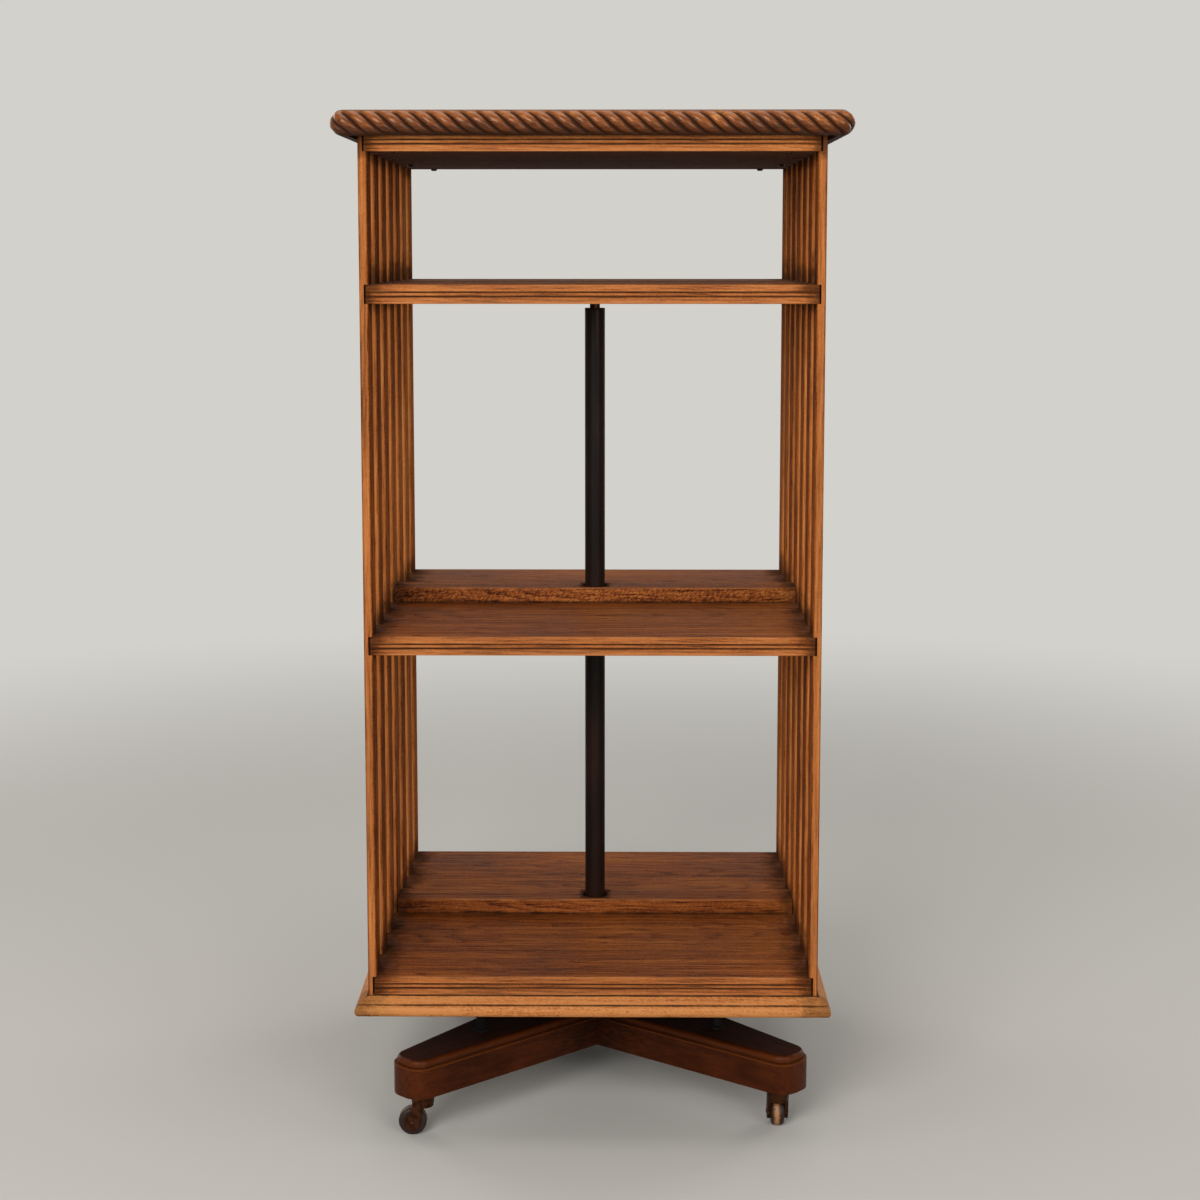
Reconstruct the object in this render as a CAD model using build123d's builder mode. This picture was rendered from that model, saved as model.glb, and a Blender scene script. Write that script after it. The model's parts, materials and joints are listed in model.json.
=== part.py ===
from build123d import *

import os
from math import cos, radians, sin

# Revolving bookcase: an open, slatted oak case that turns on an iron pole above a castored cross base.
# Millimetres, +Z up, origin on the floor under the pole, open sides facing -Y (front) and +Y (back).

# Case boards
CASE_WIDTH = 500.0  # over the outer faces of the slats, and from front to back
SHELF_THICKNESS = 20.6
TOP_THICKNESS = 22.0
TOP_OVERHANG = 27.6  # from the case to the outside of the rope moulding
LOWER_CLEAR = 363.1  # clear heights of the three compartments
MIDDLE_CLEAR = 362.0
UPPER_CLEAR = 141.0

# Reeded edges of the shelves
REED_UPPER_DROP = 8.2  # from the top face to the middle of each groove
REED_LOWER_DROP = 12.7
REED_RADIUS = 1.1
SHELF_EDGE_RADIUS = 1.2

# Moulded base board
BASE_BOARD_THICKNESS = 22.0
BASE_OVERHANG = 14.0
BASE_NOSE_HEIGHT = 13.8
BASE_NOSE_FLAT = 0.4  # flat between the two roundings of the nose
BASE_BEAD_HEIGHT = 2.3  # small square step above the nose
BASE_BEAD_INSET = 4.3
BASE_LEDGE = 0.6  # flat outside the case, above the slope

# Side slats
SLATS_PER_SIDE = 7
SLAT_WIDTH = 40.0
SLAT_THICKNESS = 9.5
SLAT_EDGE_RADIUS = 2.5
HOUSING_DEPTH = 4.5  # trench in a slat for a shelf's end
HOUSING_GAP = 1.2  # open joint at the bottom of the trench

# Book stops on the two lower shelves
STOP_WIDTH = 44.0
STOP_HEIGHT = 18.5
STOP_EDGE_RADIUS = 1.0
STOP_END_GAP = 0.5

# Rope moulding round the top
ROPE_DIAMETER = 27.0
ROPE_BACK = 4.0  # from the rope's middle in to its flat back

# Pole and its bearings
POLE_DIAMETER = 24.0
POLE_WALL = 3.0
POLE_HOLE_CLEARANCE = 3.5  # all round the pole, where the shelves pass it
POLE_DEPTH = 25.0  # how far the pole goes down into the cross
NECK_DIAMETER = 12.0
NECK_SHOW = 10.6  # neck that shows between the pole and the upper shelf
NECK_DEPTH = 12.0  # neck inside the pivot plate
PIN_PLUG_LENGTH = 50.0
PIN_CAP_HEIGHT = 3.0
RUNNING_FIT = 0.05
BUSH_FIT = 0.08
SEAT_FIT = 0.1  # pieces let into wood
END_PLAY = 0.2
PLATE_WIDTH = 70.0
PLATE_THICKNESS = 4.0
PLATE_CORNER_RADIUS = 4.0
SOCKET_WALL = 8.0
SOCKET_FLOOR = 5.0
BUSH_WALL = 4.0
BUSH_FLANGE_WIDTH = 14.0
BUSH_FLANGE_THICKNESS = 4.0
FLANGE_WIDTH = 21.0
FLANGE_THICKNESS = 5.0
FLANGE_BOSS_WALL = 7.0
FLANGE_BOSS_HEIGHT = 22.0
FLANGE_EDGE_RADIUS = 2.0

# Cross base
ARM_THICKNESS = 44.0
ARM_REACH = 318.0
ARM_MIDDLE_WIDTH = 115.0
ARM_TIP_WIDTH = 50.0
ARM_TIP_RADIUS = 22.0
ARM_TIP_FLAT = 1.0  # least flat between a tip's two rounded corners
ARM_STEP_HEIGHT = 9.5  # moulded step along the top edge
ARM_QUIRK = 3.6
ARM_OVOLO_RADIUS = 5.5
BASE_TURN = 2.5  # degrees that the cross stands turned under the case
ROLLER_SPACE = 58.7  # top of the arms to the underside of the base board

# Castors under the arms
CASTER_INSET = 31.0  # from an arm's tip in to the castor's swivel
CASTER_TRAIL = 11.5
WHEEL_DIAMETER = 32.0
WHEEL_WIDTH = 15.0
WHEEL_RIM_RADIUS = 4.0
WHEEL_SIDE_PLAY = 0.5
AXLE_DIAMETER = 5.0
AXLE_HEAD = 1.0
CHEEK_THICKNESS = 4.0
CHEEK_RADIUS = 7.0
HORN_BOSS_RADIUS = 8.6
HORN_STRAP_WIDTH = 15.6  # beside the wheel's axle
HORN_ROOT_WIDTH = 12.6  # where a strap leaves the top of the crown
CROWN_HEIGHT = 15.4
CROWN_TOP_RADIUS = 14.0
CROWN_GAP = 1.5  # from the wheel up to the horn's crown
CASTER_PLATE_RADIUS = 15.0
CASTER_PLATE_THICKNESS = 3.0
STUD_DIAMETER = 8.0
STUD_LENGTH = 8.0
PEG_DIAMETER = 10.0
PEG_LENGTH = 24.0
SWIVEL_PLAY = 0.3

# Rollers on the arms, under the case
ROLLER_RADIUS = 195.0  # from the middle of the pole
ROLLER_DIAMETER = 32.0
ROLLER_WIDTH = 12.0
ROLLER_RUN_GAP = 0.3
BRACKET_FLANGE_RADIUS = 9.0
BRACKET_FLANGE_THICKNESS = 3.0
BRACKET_POST_RADIUS = 5.0
BRACKET_BRIDGE_HEIGHT = 6.0

# Round-head screws
SCREW_DIAMETER = 4.0
SCREW_HEAD_DIAMETER = 8.0
SCREW_HEAD_HEIGHT = 2.6
SCREW_HEAD_RADIUS = 2.0
SCREW_SLOT = 1.0
SCREW_LENGTH = 16.0
TOP_SCREW_LENGTH = 34.0
TOP_SCREW_CORNER_INSET = (40.0, 15.0)  # from the case's sides and open edges
TOP_SCREW_SIDE_INSET = (23.0, 150.0)
SCREWS_PER_PLATE = 4

# Corners of the base: direction of each arm, and where its castor trails at rest, in degrees
CORNERS = {
    "front_left": (225.0, 180.0),
    "front_right": (315.0, 90.0),
    "back_right": (45.0, 20.0),
    "back_left": (135.0, 110.0),
}

# Levels above the floor
CROWN_BOTTOM = WHEEL_DIAMETER + CROWN_GAP
CROWN_TOP = CROWN_BOTTOM + CROWN_HEIGHT
CASTER_HEIGHT = CROWN_TOP + SWIVEL_PLAY + CASTER_PLATE_THICKNESS
ARM_TOP = CASTER_HEIGHT + ARM_THICKNESS
BASE_BOARD_BOTTOM = ARM_TOP + ROLLER_SPACE
BOTTOM_SHELF = BASE_BOARD_BOTTOM + BASE_BOARD_THICKNESS
MIDDLE_SHELF = BOTTOM_SHELF + SHELF_THICKNESS + LOWER_CLEAR
UPPER_SHELF = MIDDLE_SHELF + SHELF_THICKNESS + MIDDLE_CLEAR
SUB_TOP = UPPER_SHELF + SHELF_THICKNESS + UPPER_CLEAR
TOP_BOTTOM = SUB_TOP + SHELF_THICKNESS
TOP = TOP_BOTTOM + TOP_THICKNESS
NECK_SHOULDER = UPPER_SHELF - NECK_SHOW

# Sizes that follow from others
CASE_HALF = CASE_WIDTH / 2
SHELF_LENGTH = CASE_WIDTH - 2 * (SLAT_THICKNESS - HOUSING_DEPTH + HOUSING_GAP)
STOP_LENGTH = CASE_WIDTH - 2 * (SLAT_THICKNESS + STOP_END_GAP)
POLE_HOLE_RADIUS = POLE_DIAMETER / 2 + POLE_HOLE_CLEARANCE
ROPE_RADIUS = ROPE_DIAMETER / 2
ROPE_OFFSET = CASE_HALF + TOP_OVERHANG - ROPE_RADIUS
TOP_BOARD_WIDTH = 2 * (ROPE_OFFSET - ROPE_BACK)
SOCKET_RADIUS = NECK_DIAMETER / 2 + RUNNING_FIT
SOCKET_HEIGHT = NECK_DEPTH + SOCKET_FLOOR
BUSH_RADIUS = POLE_DIAMETER / 2 + BUSH_FIT + BUSH_WALL
BUSH_FLANGE_RADIUS = BUSH_RADIUS + BUSH_FLANGE_WIDTH
FLANGE_BORE_RADIUS = POLE_DIAMETER / 2 + SEAT_FIT
FLANGE_BOSS_RADIUS = FLANGE_BORE_RADIUS + FLANGE_BOSS_WALL
FLANGE_RADIUS = FLANGE_BOSS_RADIUS + FLANGE_WIDTH
ARM_BODY_HEIGHT = ARM_THICKNESS - ARM_STEP_HEIGHT
ARM_TIP_ROUNDING = min(ARM_TIP_RADIUS, ARM_TIP_WIDTH / 2 - ARM_TIP_FLAT)
CASTER_RADIUS = ARM_REACH - CASTER_INSET
CASTER_FORK = WHEEL_WIDTH + 2 * WHEEL_SIDE_PLAY
ROLLER_FORK = ROLLER_WIDTH + 2 * WHEEL_SIDE_PLAY
ROLLER_CENTRE = BASE_BOARD_BOTTOM - ROLLER_RUN_GAP - ROLLER_DIAMETER / 2
BRACKET_BRIDGE_TOP = ROLLER_CENTRE - ROLLER_DIAMETER / 2 - CROWN_GAP

os.makedirs("parts", exist_ok=True)


def write(piece, name):
    """Label a finished piece and write it to its own file."""
    piece.part.label = name
    export_step(piece.part, f"parts/{name}.step")


def polar_plane(radius, angle, height):
    """Level plane at a polar place, with its X axis pointing outwards."""
    direction = (cos(radians(angle)), sin(radians(angle)), 0)
    origin = (radius * direction[0], radius * direction[1], height)
    return Plane(origin=origin, x_dir=direction, z_dir=(0, 0, 1))


def turned_plane(origin, angle):
    """Level plane at a place, with its X axis turned to an angle."""
    return Plane(origin=origin, x_dir=(cos(radians(angle)), sin(radians(angle)), 0), z_dir=(0, 0, 1))


def axle_plane(level, ahead, height):
    """Upright plane across an axle, ahead along a level plane's X axis, with its Y axis pointing up."""
    origin = level.from_local_coords((ahead, 0, height))
    return Plane(origin=origin, x_dir=level.x_dir, z_dir=-level.y_dir)


def arm_angle(corner):
    """Direction of a corner's arm, with the turn of the cross."""
    return CORNERS[corner][0] + BASE_TURN


def caster_plane(corner):
    """Level plane on the floor under a castor's swivel axis, with its X axis along the trail."""
    arm = polar_plane(CASTER_RADIUS, arm_angle(corner), 0)
    return turned_plane(arm.origin, CORNERS[corner][1])


def screw_places():
    """Places of the round-head screws under the sub-top, in plan."""
    for inset_x, inset_y in (TOP_SCREW_CORNER_INSET, TOP_SCREW_SIDE_INSET):
        for side_x in (-1, 1):
            for side_y in (-1, 1):
                yield side_x * (CASE_HALF - inset_x), side_y * (CASE_HALF - inset_y)


def screw_circle(radius, height):
    """Level planes of a plate's screws, evenly round the pole's axis."""
    step = 360 / SCREWS_PER_PLATE
    return [polar_plane(radius, step * (turn + 0.5), height) for turn in range(SCREWS_PER_PLATE)]


PLATE_SCREW_RADIUS = (PLATE_WIDTH / 2 + SOCKET_RADIUS + SOCKET_WALL) / 2
BUSH_SCREW_RADIUS = BUSH_RADIUS + BUSH_FLANGE_WIDTH / 2
FLANGE_SCREW_RADIUS = FLANGE_BOSS_RADIUS + FLANGE_WIDTH / 2
TOP_SCREWS = [Plane(origin=(x, y, SUB_TOP)) for x, y in screw_places()]
PLATE_SCREWS = screw_circle(PLATE_SCREW_RADIUS, UPPER_SHELF)
BUSH_SCREWS = screw_circle(BUSH_SCREW_RADIUS, BASE_BOARD_BOTTOM - BUSH_FLANGE_THICKNESS)
FLANGE_SCREWS = screw_circle(FLANGE_SCREW_RADIUS, ARM_TOP + FLANGE_THICKNESS)


def bore(planes, radius, depth):
    """Cut a straight round hole from each plane, along its normal."""
    for plane in planes:
        with BuildSketch(plane) as mouth:
            Circle(radius)
        extrude(mouth.sketch, amount=depth, mode=Mode.SUBTRACT)


def screw(plane, length):
    """Round-head wood screw whose head seats on a plane, with its shank along the normal."""
    with BuildPart() as piece:
        with BuildSketch(plane.offset(-SCREW_HEAD_HEIGHT)):
            Circle(SCREW_HEAD_DIAMETER / 2)
        extrude(amount=SCREW_HEAD_HEIGHT)
        crown = piece.edges().sort_by(Axis(plane.origin, plane.z_dir))[0]
        fillet(crown, SCREW_HEAD_RADIUS)
        with BuildSketch(plane.offset(-SCREW_HEAD_HEIGHT)):
            Rectangle(SCREW_HEAD_DIAMETER, SCREW_SLOT)
        extrude(amount=SCREW_SLOT, mode=Mode.SUBTRACT)
        with BuildSketch(plane):
            Circle(SCREW_DIAMETER / 2)
        extrude(amount=length)
    return piece.part


def flipped(plane):
    """The same plane facing the other way."""
    return Plane(origin=plane.origin, x_dir=plane.x_dir, z_dir=-plane.z_dir)


SCREW_HOLE_RADIUS = SCREW_DIAMETER / 2 + SEAT_FIT


# Shelves and the sub-top, with two grooves along their front and back edges
def shelf_board(bottom):
    """Board between the two sides, reeded along its open edges."""
    top = bottom + SHELF_THICKNESS
    drops = (REED_UPPER_DROP, REED_LOWER_DROP)
    grooves = [(side * CASE_HALF, top - drop) for side in (-1, 1) for drop in drops]
    with BuildPart() as board:
        with BuildSketch(Plane.YZ):
            with Locations((0, bottom + SHELF_THICKNESS / 2)):
                RectangleRounded(CASE_WIDTH, SHELF_THICKNESS, SHELF_EDGE_RADIUS)
            with Locations(*grooves):
                Circle(REED_RADIUS, mode=Mode.SUBTRACT)
        extrude(amount=SHELF_LENGTH / 2, both=True)
    return board.part


for shelf_name, level in (("bottom_shelf", BOTTOM_SHELF), ("middle_shelf", MIDDLE_SHELF)):
    with BuildPart() as pierced_shelf:
        add(shelf_board(level))
        bore([Plane.XY.offset(level)], POLE_HOLE_RADIUS, SHELF_THICKNESS)
    write(pierced_shelf, shelf_name)

with BuildPart() as upper_shelf:
    add(shelf_board(UPPER_SHELF))
    with BuildSketch(Plane.XY.offset(UPPER_SHELF)):
        RectangleRounded(PLATE_WIDTH + 2 * SEAT_FIT, PLATE_WIDTH + 2 * SEAT_FIT, PLATE_CORNER_RADIUS)
    extrude(amount=PLATE_THICKNESS, mode=Mode.SUBTRACT)
    bore([Plane.XY.offset(UPPER_SHELF)], SOCKET_RADIUS + SOCKET_WALL + SEAT_FIT, SOCKET_HEIGHT)
    bore(PLATE_SCREWS, SCREW_HOLE_RADIUS, SCREW_LENGTH)
write(upper_shelf, "upper_shelf")

with BuildPart() as sub_top:
    add(shelf_board(SUB_TOP))
    bore(TOP_SCREWS, SCREW_HOLE_RADIUS, SHELF_THICKNESS)
write(sub_top, "sub_top")

# Book stops: strips along the middle of the two lower shelves, which the pole passes through
for stop_name, level in (("bottom_book_stop", BOTTOM_SHELF), ("middle_book_stop", MIDDLE_SHELF)):
    seat = Plane.XY.offset(level + SHELF_THICKNESS)
    with BuildPart() as book_stop:
        with BuildSketch(seat):
            Rectangle(STOP_LENGTH, STOP_WIDTH)
        extrude(amount=STOP_HEIGHT)
        fillet(book_stop.faces().sort_by(Axis.Z)[-1].edges().filter_by(Axis.X), STOP_EDGE_RADIUS)
        bore([seat], POLE_HOLE_RADIUS, STOP_HEIGHT)
    write(book_stop, stop_name)

# Slats: rounded strips from the base board to the top, trenched over the ends of the shelves
SLAT_PITCH = (CASE_WIDTH - SLAT_WIDTH) / (SLATS_PER_SIDE - 1)
for side_name, side in (("left", -1), ("right", 1)):
    for number in range(SLATS_PER_SIDE):
        middle = (side * (CASE_HALF - SLAT_THICKNESS / 2), number * SLAT_PITCH - CASE_HALF + SLAT_WIDTH / 2)
        trench = (side * (CASE_HALF - SLAT_THICKNESS + HOUSING_DEPTH / 2), middle[1])
        with BuildPart() as slat:
            with BuildSketch(Plane.XY.offset(BOTTOM_SHELF)):
                with Locations(middle):
                    RectangleRounded(SLAT_THICKNESS, SLAT_WIDTH, SLAT_EDGE_RADIUS)
            extrude(amount=TOP_BOTTOM - BOTTOM_SHELF)
            for level in (BOTTOM_SHELF, MIDDLE_SHELF, UPPER_SHELF, SUB_TOP):
                with BuildSketch(Plane.XY.offset(level)):
                    with Locations(trench):
                        Rectangle(HOUSING_DEPTH, SLAT_WIDTH)
                extrude(amount=SHELF_THICKNESS, mode=Mode.SUBTRACT)
        write(slat, f"slat_{side_name}_{number + 1}")

# Base board: a round nose all round, with a small square step and a slope above it
BASE_BOARD_WIDTH = CASE_WIDTH + 2 * BASE_OVERHANG
BASE_BEAD_WIDTH = BASE_BOARD_WIDTH - 2 * BASE_BEAD_INSET
BASE_LEDGE_WIDTH = CASE_WIDTH + 2 * BASE_LEDGE
BASE_NOSE_TOP = BASE_BOARD_BOTTOM + BASE_NOSE_HEIGHT
BASE_BEAD_TOP = BASE_NOSE_TOP + BASE_BEAD_HEIGHT
with BuildPart() as base_board:
    with BuildSketch(Plane.XY.offset(BASE_BOARD_BOTTOM)):
        Rectangle(BASE_BOARD_WIDTH, BASE_BOARD_WIDTH)
    extrude(amount=BASE_NOSE_HEIGHT)
    fillet(base_board.edges().filter_by(Axis.Z, reverse=True), (BASE_NOSE_HEIGHT - BASE_NOSE_FLAT) / 2)
    with BuildSketch(Plane.XY.offset(BASE_NOSE_TOP)):
        Rectangle(BASE_BEAD_WIDTH, BASE_BEAD_WIDTH)
    extrude(amount=BASE_BEAD_HEIGHT)
    with BuildSketch(Plane.XY.offset(BASE_BEAD_TOP)):
        Rectangle(BASE_BEAD_WIDTH, BASE_BEAD_WIDTH)
    with BuildSketch(Plane.XY.offset(BOTTOM_SHELF)):
        Rectangle(BASE_LEDGE_WIDTH, BASE_LEDGE_WIDTH)
    loft()
    bore([Plane.XY.offset(BASE_BOARD_BOTTOM)], BUSH_RADIUS + SEAT_FIT, BASE_BOARD_THICKNESS)
    bore(BUSH_SCREWS, SCREW_HOLE_RADIUS, SCREW_LENGTH)
write(base_board, "base_board")

# Top board, and the four mitred lengths of rope moulding round its edge
with BuildPart() as top_board:
    with BuildSketch(Plane.XY.offset(TOP_BOTTOM)):
        Rectangle(TOP_BOARD_WIDTH, TOP_BOARD_WIDTH)
    extrude(amount=TOP_THICKNESS)
    bore(TOP_SCREWS, SCREW_HOLE_RADIUS, TOP_SCREW_LENGTH)
write(top_board, "top_board")

with BuildPart() as rope_front:
    with BuildSketch(Plane.YZ):
        with Locations((-ROPE_OFFSET, TOP - ROPE_RADIUS)):
            Circle(ROPE_RADIUS)
        with Locations((ROPE_BACK - ROPE_OFFSET, TOP - ROPE_RADIUS)):
            Rectangle(ROPE_DIAMETER, ROPE_DIAMETER, align=(Align.MIN, Align.CENTER), mode=Mode.SUBTRACT)
    extrude(amount=ROPE_OFFSET + ROPE_RADIUS, both=True)
    split(bisect_by=Plane(origin=(0, 0, 0), z_dir=(1, 1, 0)), keep=Keep.BOTTOM)
    split(bisect_by=Plane(origin=(0, 0, 0), z_dir=(-1, 1, 0)), keep=Keep.BOTTOM)
write(rope_front, "rope_front")

for turn, rope_name in enumerate(("rope_right", "rope_back", "rope_left"), start=1):
    with BuildPart() as rope_side:
        add(rope_front.part, rotation=(0, 0, 90 * turn))
    write(rope_side, rope_name)

# Pivot plate: let into the upper shelf, with a blind socket that rests on the pole's pin
with BuildPart() as pivot_plate:
    with BuildSketch(Plane.XY.offset(UPPER_SHELF)):
        RectangleRounded(PLATE_WIDTH, PLATE_WIDTH, PLATE_CORNER_RADIUS)
    extrude(amount=PLATE_THICKNESS)
    with BuildSketch(Plane.XY.offset(UPPER_SHELF)):
        Circle(SOCKET_RADIUS + SOCKET_WALL)
    extrude(amount=SOCKET_HEIGHT)
    bore([Plane.XY.offset(UPPER_SHELF)], SOCKET_RADIUS, NECK_DEPTH + END_PLAY)
    bore(PLATE_SCREWS, SCREW_HOLE_RADIUS, PLATE_THICKNESS)
write(pivot_plate, "pivot_plate")

# Guide bush: a flanged sleeve in the base board that runs on the pole
with BuildPart() as guide_bush:
    with BuildSketch(Plane.XY.offset(BASE_BOARD_BOTTOM - BUSH_FLANGE_THICKNESS)):
        Circle(BUSH_FLANGE_RADIUS)
    extrude(amount=BUSH_FLANGE_THICKNESS)
    with BuildSketch(Plane.XY.offset(BASE_BOARD_BOTTOM)):
        Circle(BUSH_RADIUS)
    extrude(amount=BASE_BOARD_THICKNESS)
    bush_mouth = Plane.XY.offset(BASE_BOARD_BOTTOM - BUSH_FLANGE_THICKNESS)
    bore([bush_mouth], POLE_DIAMETER / 2 + BUSH_FIT, BASE_BOARD_THICKNESS + BUSH_FLANGE_THICKNESS)
    bore(BUSH_SCREWS, SCREW_HOLE_RADIUS, BUSH_FLANGE_THICKNESS)
write(guide_bush, "guide_bush")

with BuildPart() as case_screws:
    for place in TOP_SCREWS:
        add(screw(place, TOP_SCREW_LENGTH - END_PLAY))
    for place in PLATE_SCREWS + BUSH_SCREWS:
        add(screw(place, SCREW_LENGTH - END_PLAY))
write(case_screws, "case_screws")


# Cross base: two tapered beams, half-lapped where they cross
def beam_outline(angle):
    """Plan of one beam, widest over the pole and rounded at its tips."""
    half_middle = ARM_MIDDLE_WIDTH / 2
    half_tip = ARM_TIP_WIDTH / 2
    with BuildSketch() as outline:
        with BuildLine(turned_plane((0, 0, 0), angle)):
            Polyline(
                (ARM_REACH, -half_tip),
                (ARM_REACH, half_tip),
                (0, half_middle),
                (-ARM_REACH, half_tip),
                (-ARM_REACH, -half_tip),
                (0, -half_middle),
                close=True,
            )
        make_face()
        tips = outline.vertices().group_by(SortBy.DISTANCE)[-1]
        fillet(tips, ARM_TIP_ROUNDING)
    return outline.sketch


UPPER_OUTLINE = beam_outline(arm_angle("back_right"))
LOWER_OUTLINE = beam_outline(arm_angle("back_left"))

with BuildPart() as cross:
    with BuildSketch(Plane.XY.offset(CASTER_HEIGHT)):
        add(UPPER_OUTLINE)
        add(LOWER_OUTLINE)
    extrude(amount=ARM_BODY_HEIGHT)
    with BuildSketch(Plane.XY.offset(CASTER_HEIGHT + ARM_BODY_HEIGHT)):
        add(UPPER_OUTLINE)
        add(LOWER_OUTLINE)
        offset(amount=-ARM_QUIRK, kind=Kind.INTERSECTION, mode=Mode.REPLACE)
    extrude(amount=ARM_STEP_HEIGHT)
    fillet(cross.faces().sort_by(Axis.Z)[-1].edges(), ARM_OVOLO_RADIUS)
    bore([flipped(Plane.XY.offset(ARM_TOP))], FLANGE_BORE_RADIUS, POLE_DEPTH)
    bore([flipped(place) for place in FLANGE_SCREWS], SCREW_HOLE_RADIUS, SCREW_LENGTH)
    for corner in CORNERS:
        caster_seat = polar_plane(CASTER_RADIUS, arm_angle(corner), CASTER_HEIGHT)
        roller_seat = polar_plane(ROLLER_RADIUS, arm_angle(corner), ARM_TOP)
        bore([caster_seat, flipped(roller_seat)], PEG_DIAMETER / 2 + SEAT_FIT, PEG_LENGTH)

with BuildPart() as cross_beam_upper:
    add(cross.part)
    with BuildSketch(Plane.XY.offset(CASTER_HEIGHT)):
        add(UPPER_OUTLINE)
    extrude(amount=ARM_THICKNESS, mode=Mode.INTERSECT)
    with BuildSketch(Plane.XY.offset(CASTER_HEIGHT)):
        add(LOWER_OUTLINE)
    extrude(amount=ARM_THICKNESS / 2, mode=Mode.SUBTRACT)
write(cross_beam_upper, "cross_beam_upper")

with BuildPart() as cross_beam_lower:
    add(cross.part)
    add(cross_beam_upper.part, mode=Mode.SUBTRACT)
write(cross_beam_lower, "cross_beam_lower")

# Pole: an iron tube let into the cross, held by a screwed flange and topped by the pivot pin
with BuildPart() as pole:
    with BuildSketch(Plane.XY.offset(ARM_TOP - POLE_DEPTH)):
        Circle(POLE_DIAMETER / 2)
        Circle(POLE_DIAMETER / 2 - POLE_WALL, mode=Mode.SUBTRACT)
    extrude(amount=NECK_SHOULDER - PIN_CAP_HEIGHT - ARM_TOP + POLE_DEPTH)
write(pole, "pole")

with BuildPart() as pivot_pin:
    with BuildSketch(Plane.XY.offset(NECK_SHOULDER - PIN_CAP_HEIGHT - PIN_PLUG_LENGTH)):
        Circle(POLE_DIAMETER / 2 - POLE_WALL - SEAT_FIT)
    extrude(amount=PIN_PLUG_LENGTH)
    with BuildSketch(Plane.XY.offset(NECK_SHOULDER - PIN_CAP_HEIGHT)):
        Circle(POLE_DIAMETER / 2)
    extrude(amount=PIN_CAP_HEIGHT)
    with BuildSketch(Plane.XY.offset(NECK_SHOULDER)):
        Circle(NECK_DIAMETER / 2)
    extrude(amount=NECK_SHOW + NECK_DEPTH)
write(pivot_pin, "pivot_pin")

with BuildPart() as pole_flange:
    with BuildSketch(Plane.XY.offset(ARM_TOP)):
        Circle(FLANGE_RADIUS)
    extrude(amount=FLANGE_THICKNESS)
    with BuildSketch(Plane.XY.offset(ARM_TOP)):
        Circle(FLANGE_BOSS_RADIUS)
    extrude(amount=FLANGE_THICKNESS + FLANGE_BOSS_HEIGHT)
    fillet(pole_flange.faces().sort_by(Axis.Z)[-1].edges(), FLANGE_EDGE_RADIUS)
    bore([Plane.XY.offset(ARM_TOP)], FLANGE_BORE_RADIUS, FLANGE_THICKNESS + FLANGE_BOSS_HEIGHT)
    bore([flipped(place) for place in FLANGE_SCREWS], SCREW_HOLE_RADIUS, FLANGE_THICKNESS)
write(pole_flange, "pole_flange")

with BuildPart() as base_screws:
    for place in FLANGE_SCREWS:
        add(screw(flipped(place), SCREW_LENGTH - END_PLAY))
write(base_screws, "base_screws")


# Turned and forked pieces of the castors and the rollers
def wheel_on(plane, diameter, width):
    """Wheel with rounded rims and a plain bore, centred on a plane square to its axle."""
    with BuildPart() as wheel:
        with BuildSketch(plane):
            Circle(diameter / 2)
        extrude(amount=width / 2, both=True)
        fillet(wheel.edges(), WHEEL_RIM_RADIUS)
        with BuildSketch(plane):
            Circle(AXLE_DIAMETER / 2 + RUNNING_FIT)
        extrude(amount=width / 2, both=True, mode=Mode.SUBTRACT)
    return wheel


def axle_on(plane, fork):
    """Riveted axle through both cheeks of a fork."""
    half_length = fork / 2 + CHEEK_THICKNESS
    with BuildPart() as axle:
        with BuildSketch(plane):
            Circle(AXLE_DIAMETER / 2)
        extrude(amount=half_length + AXLE_HEAD, both=True)
        fillet(axle.edges(), AXLE_HEAD)
    return axle


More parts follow.
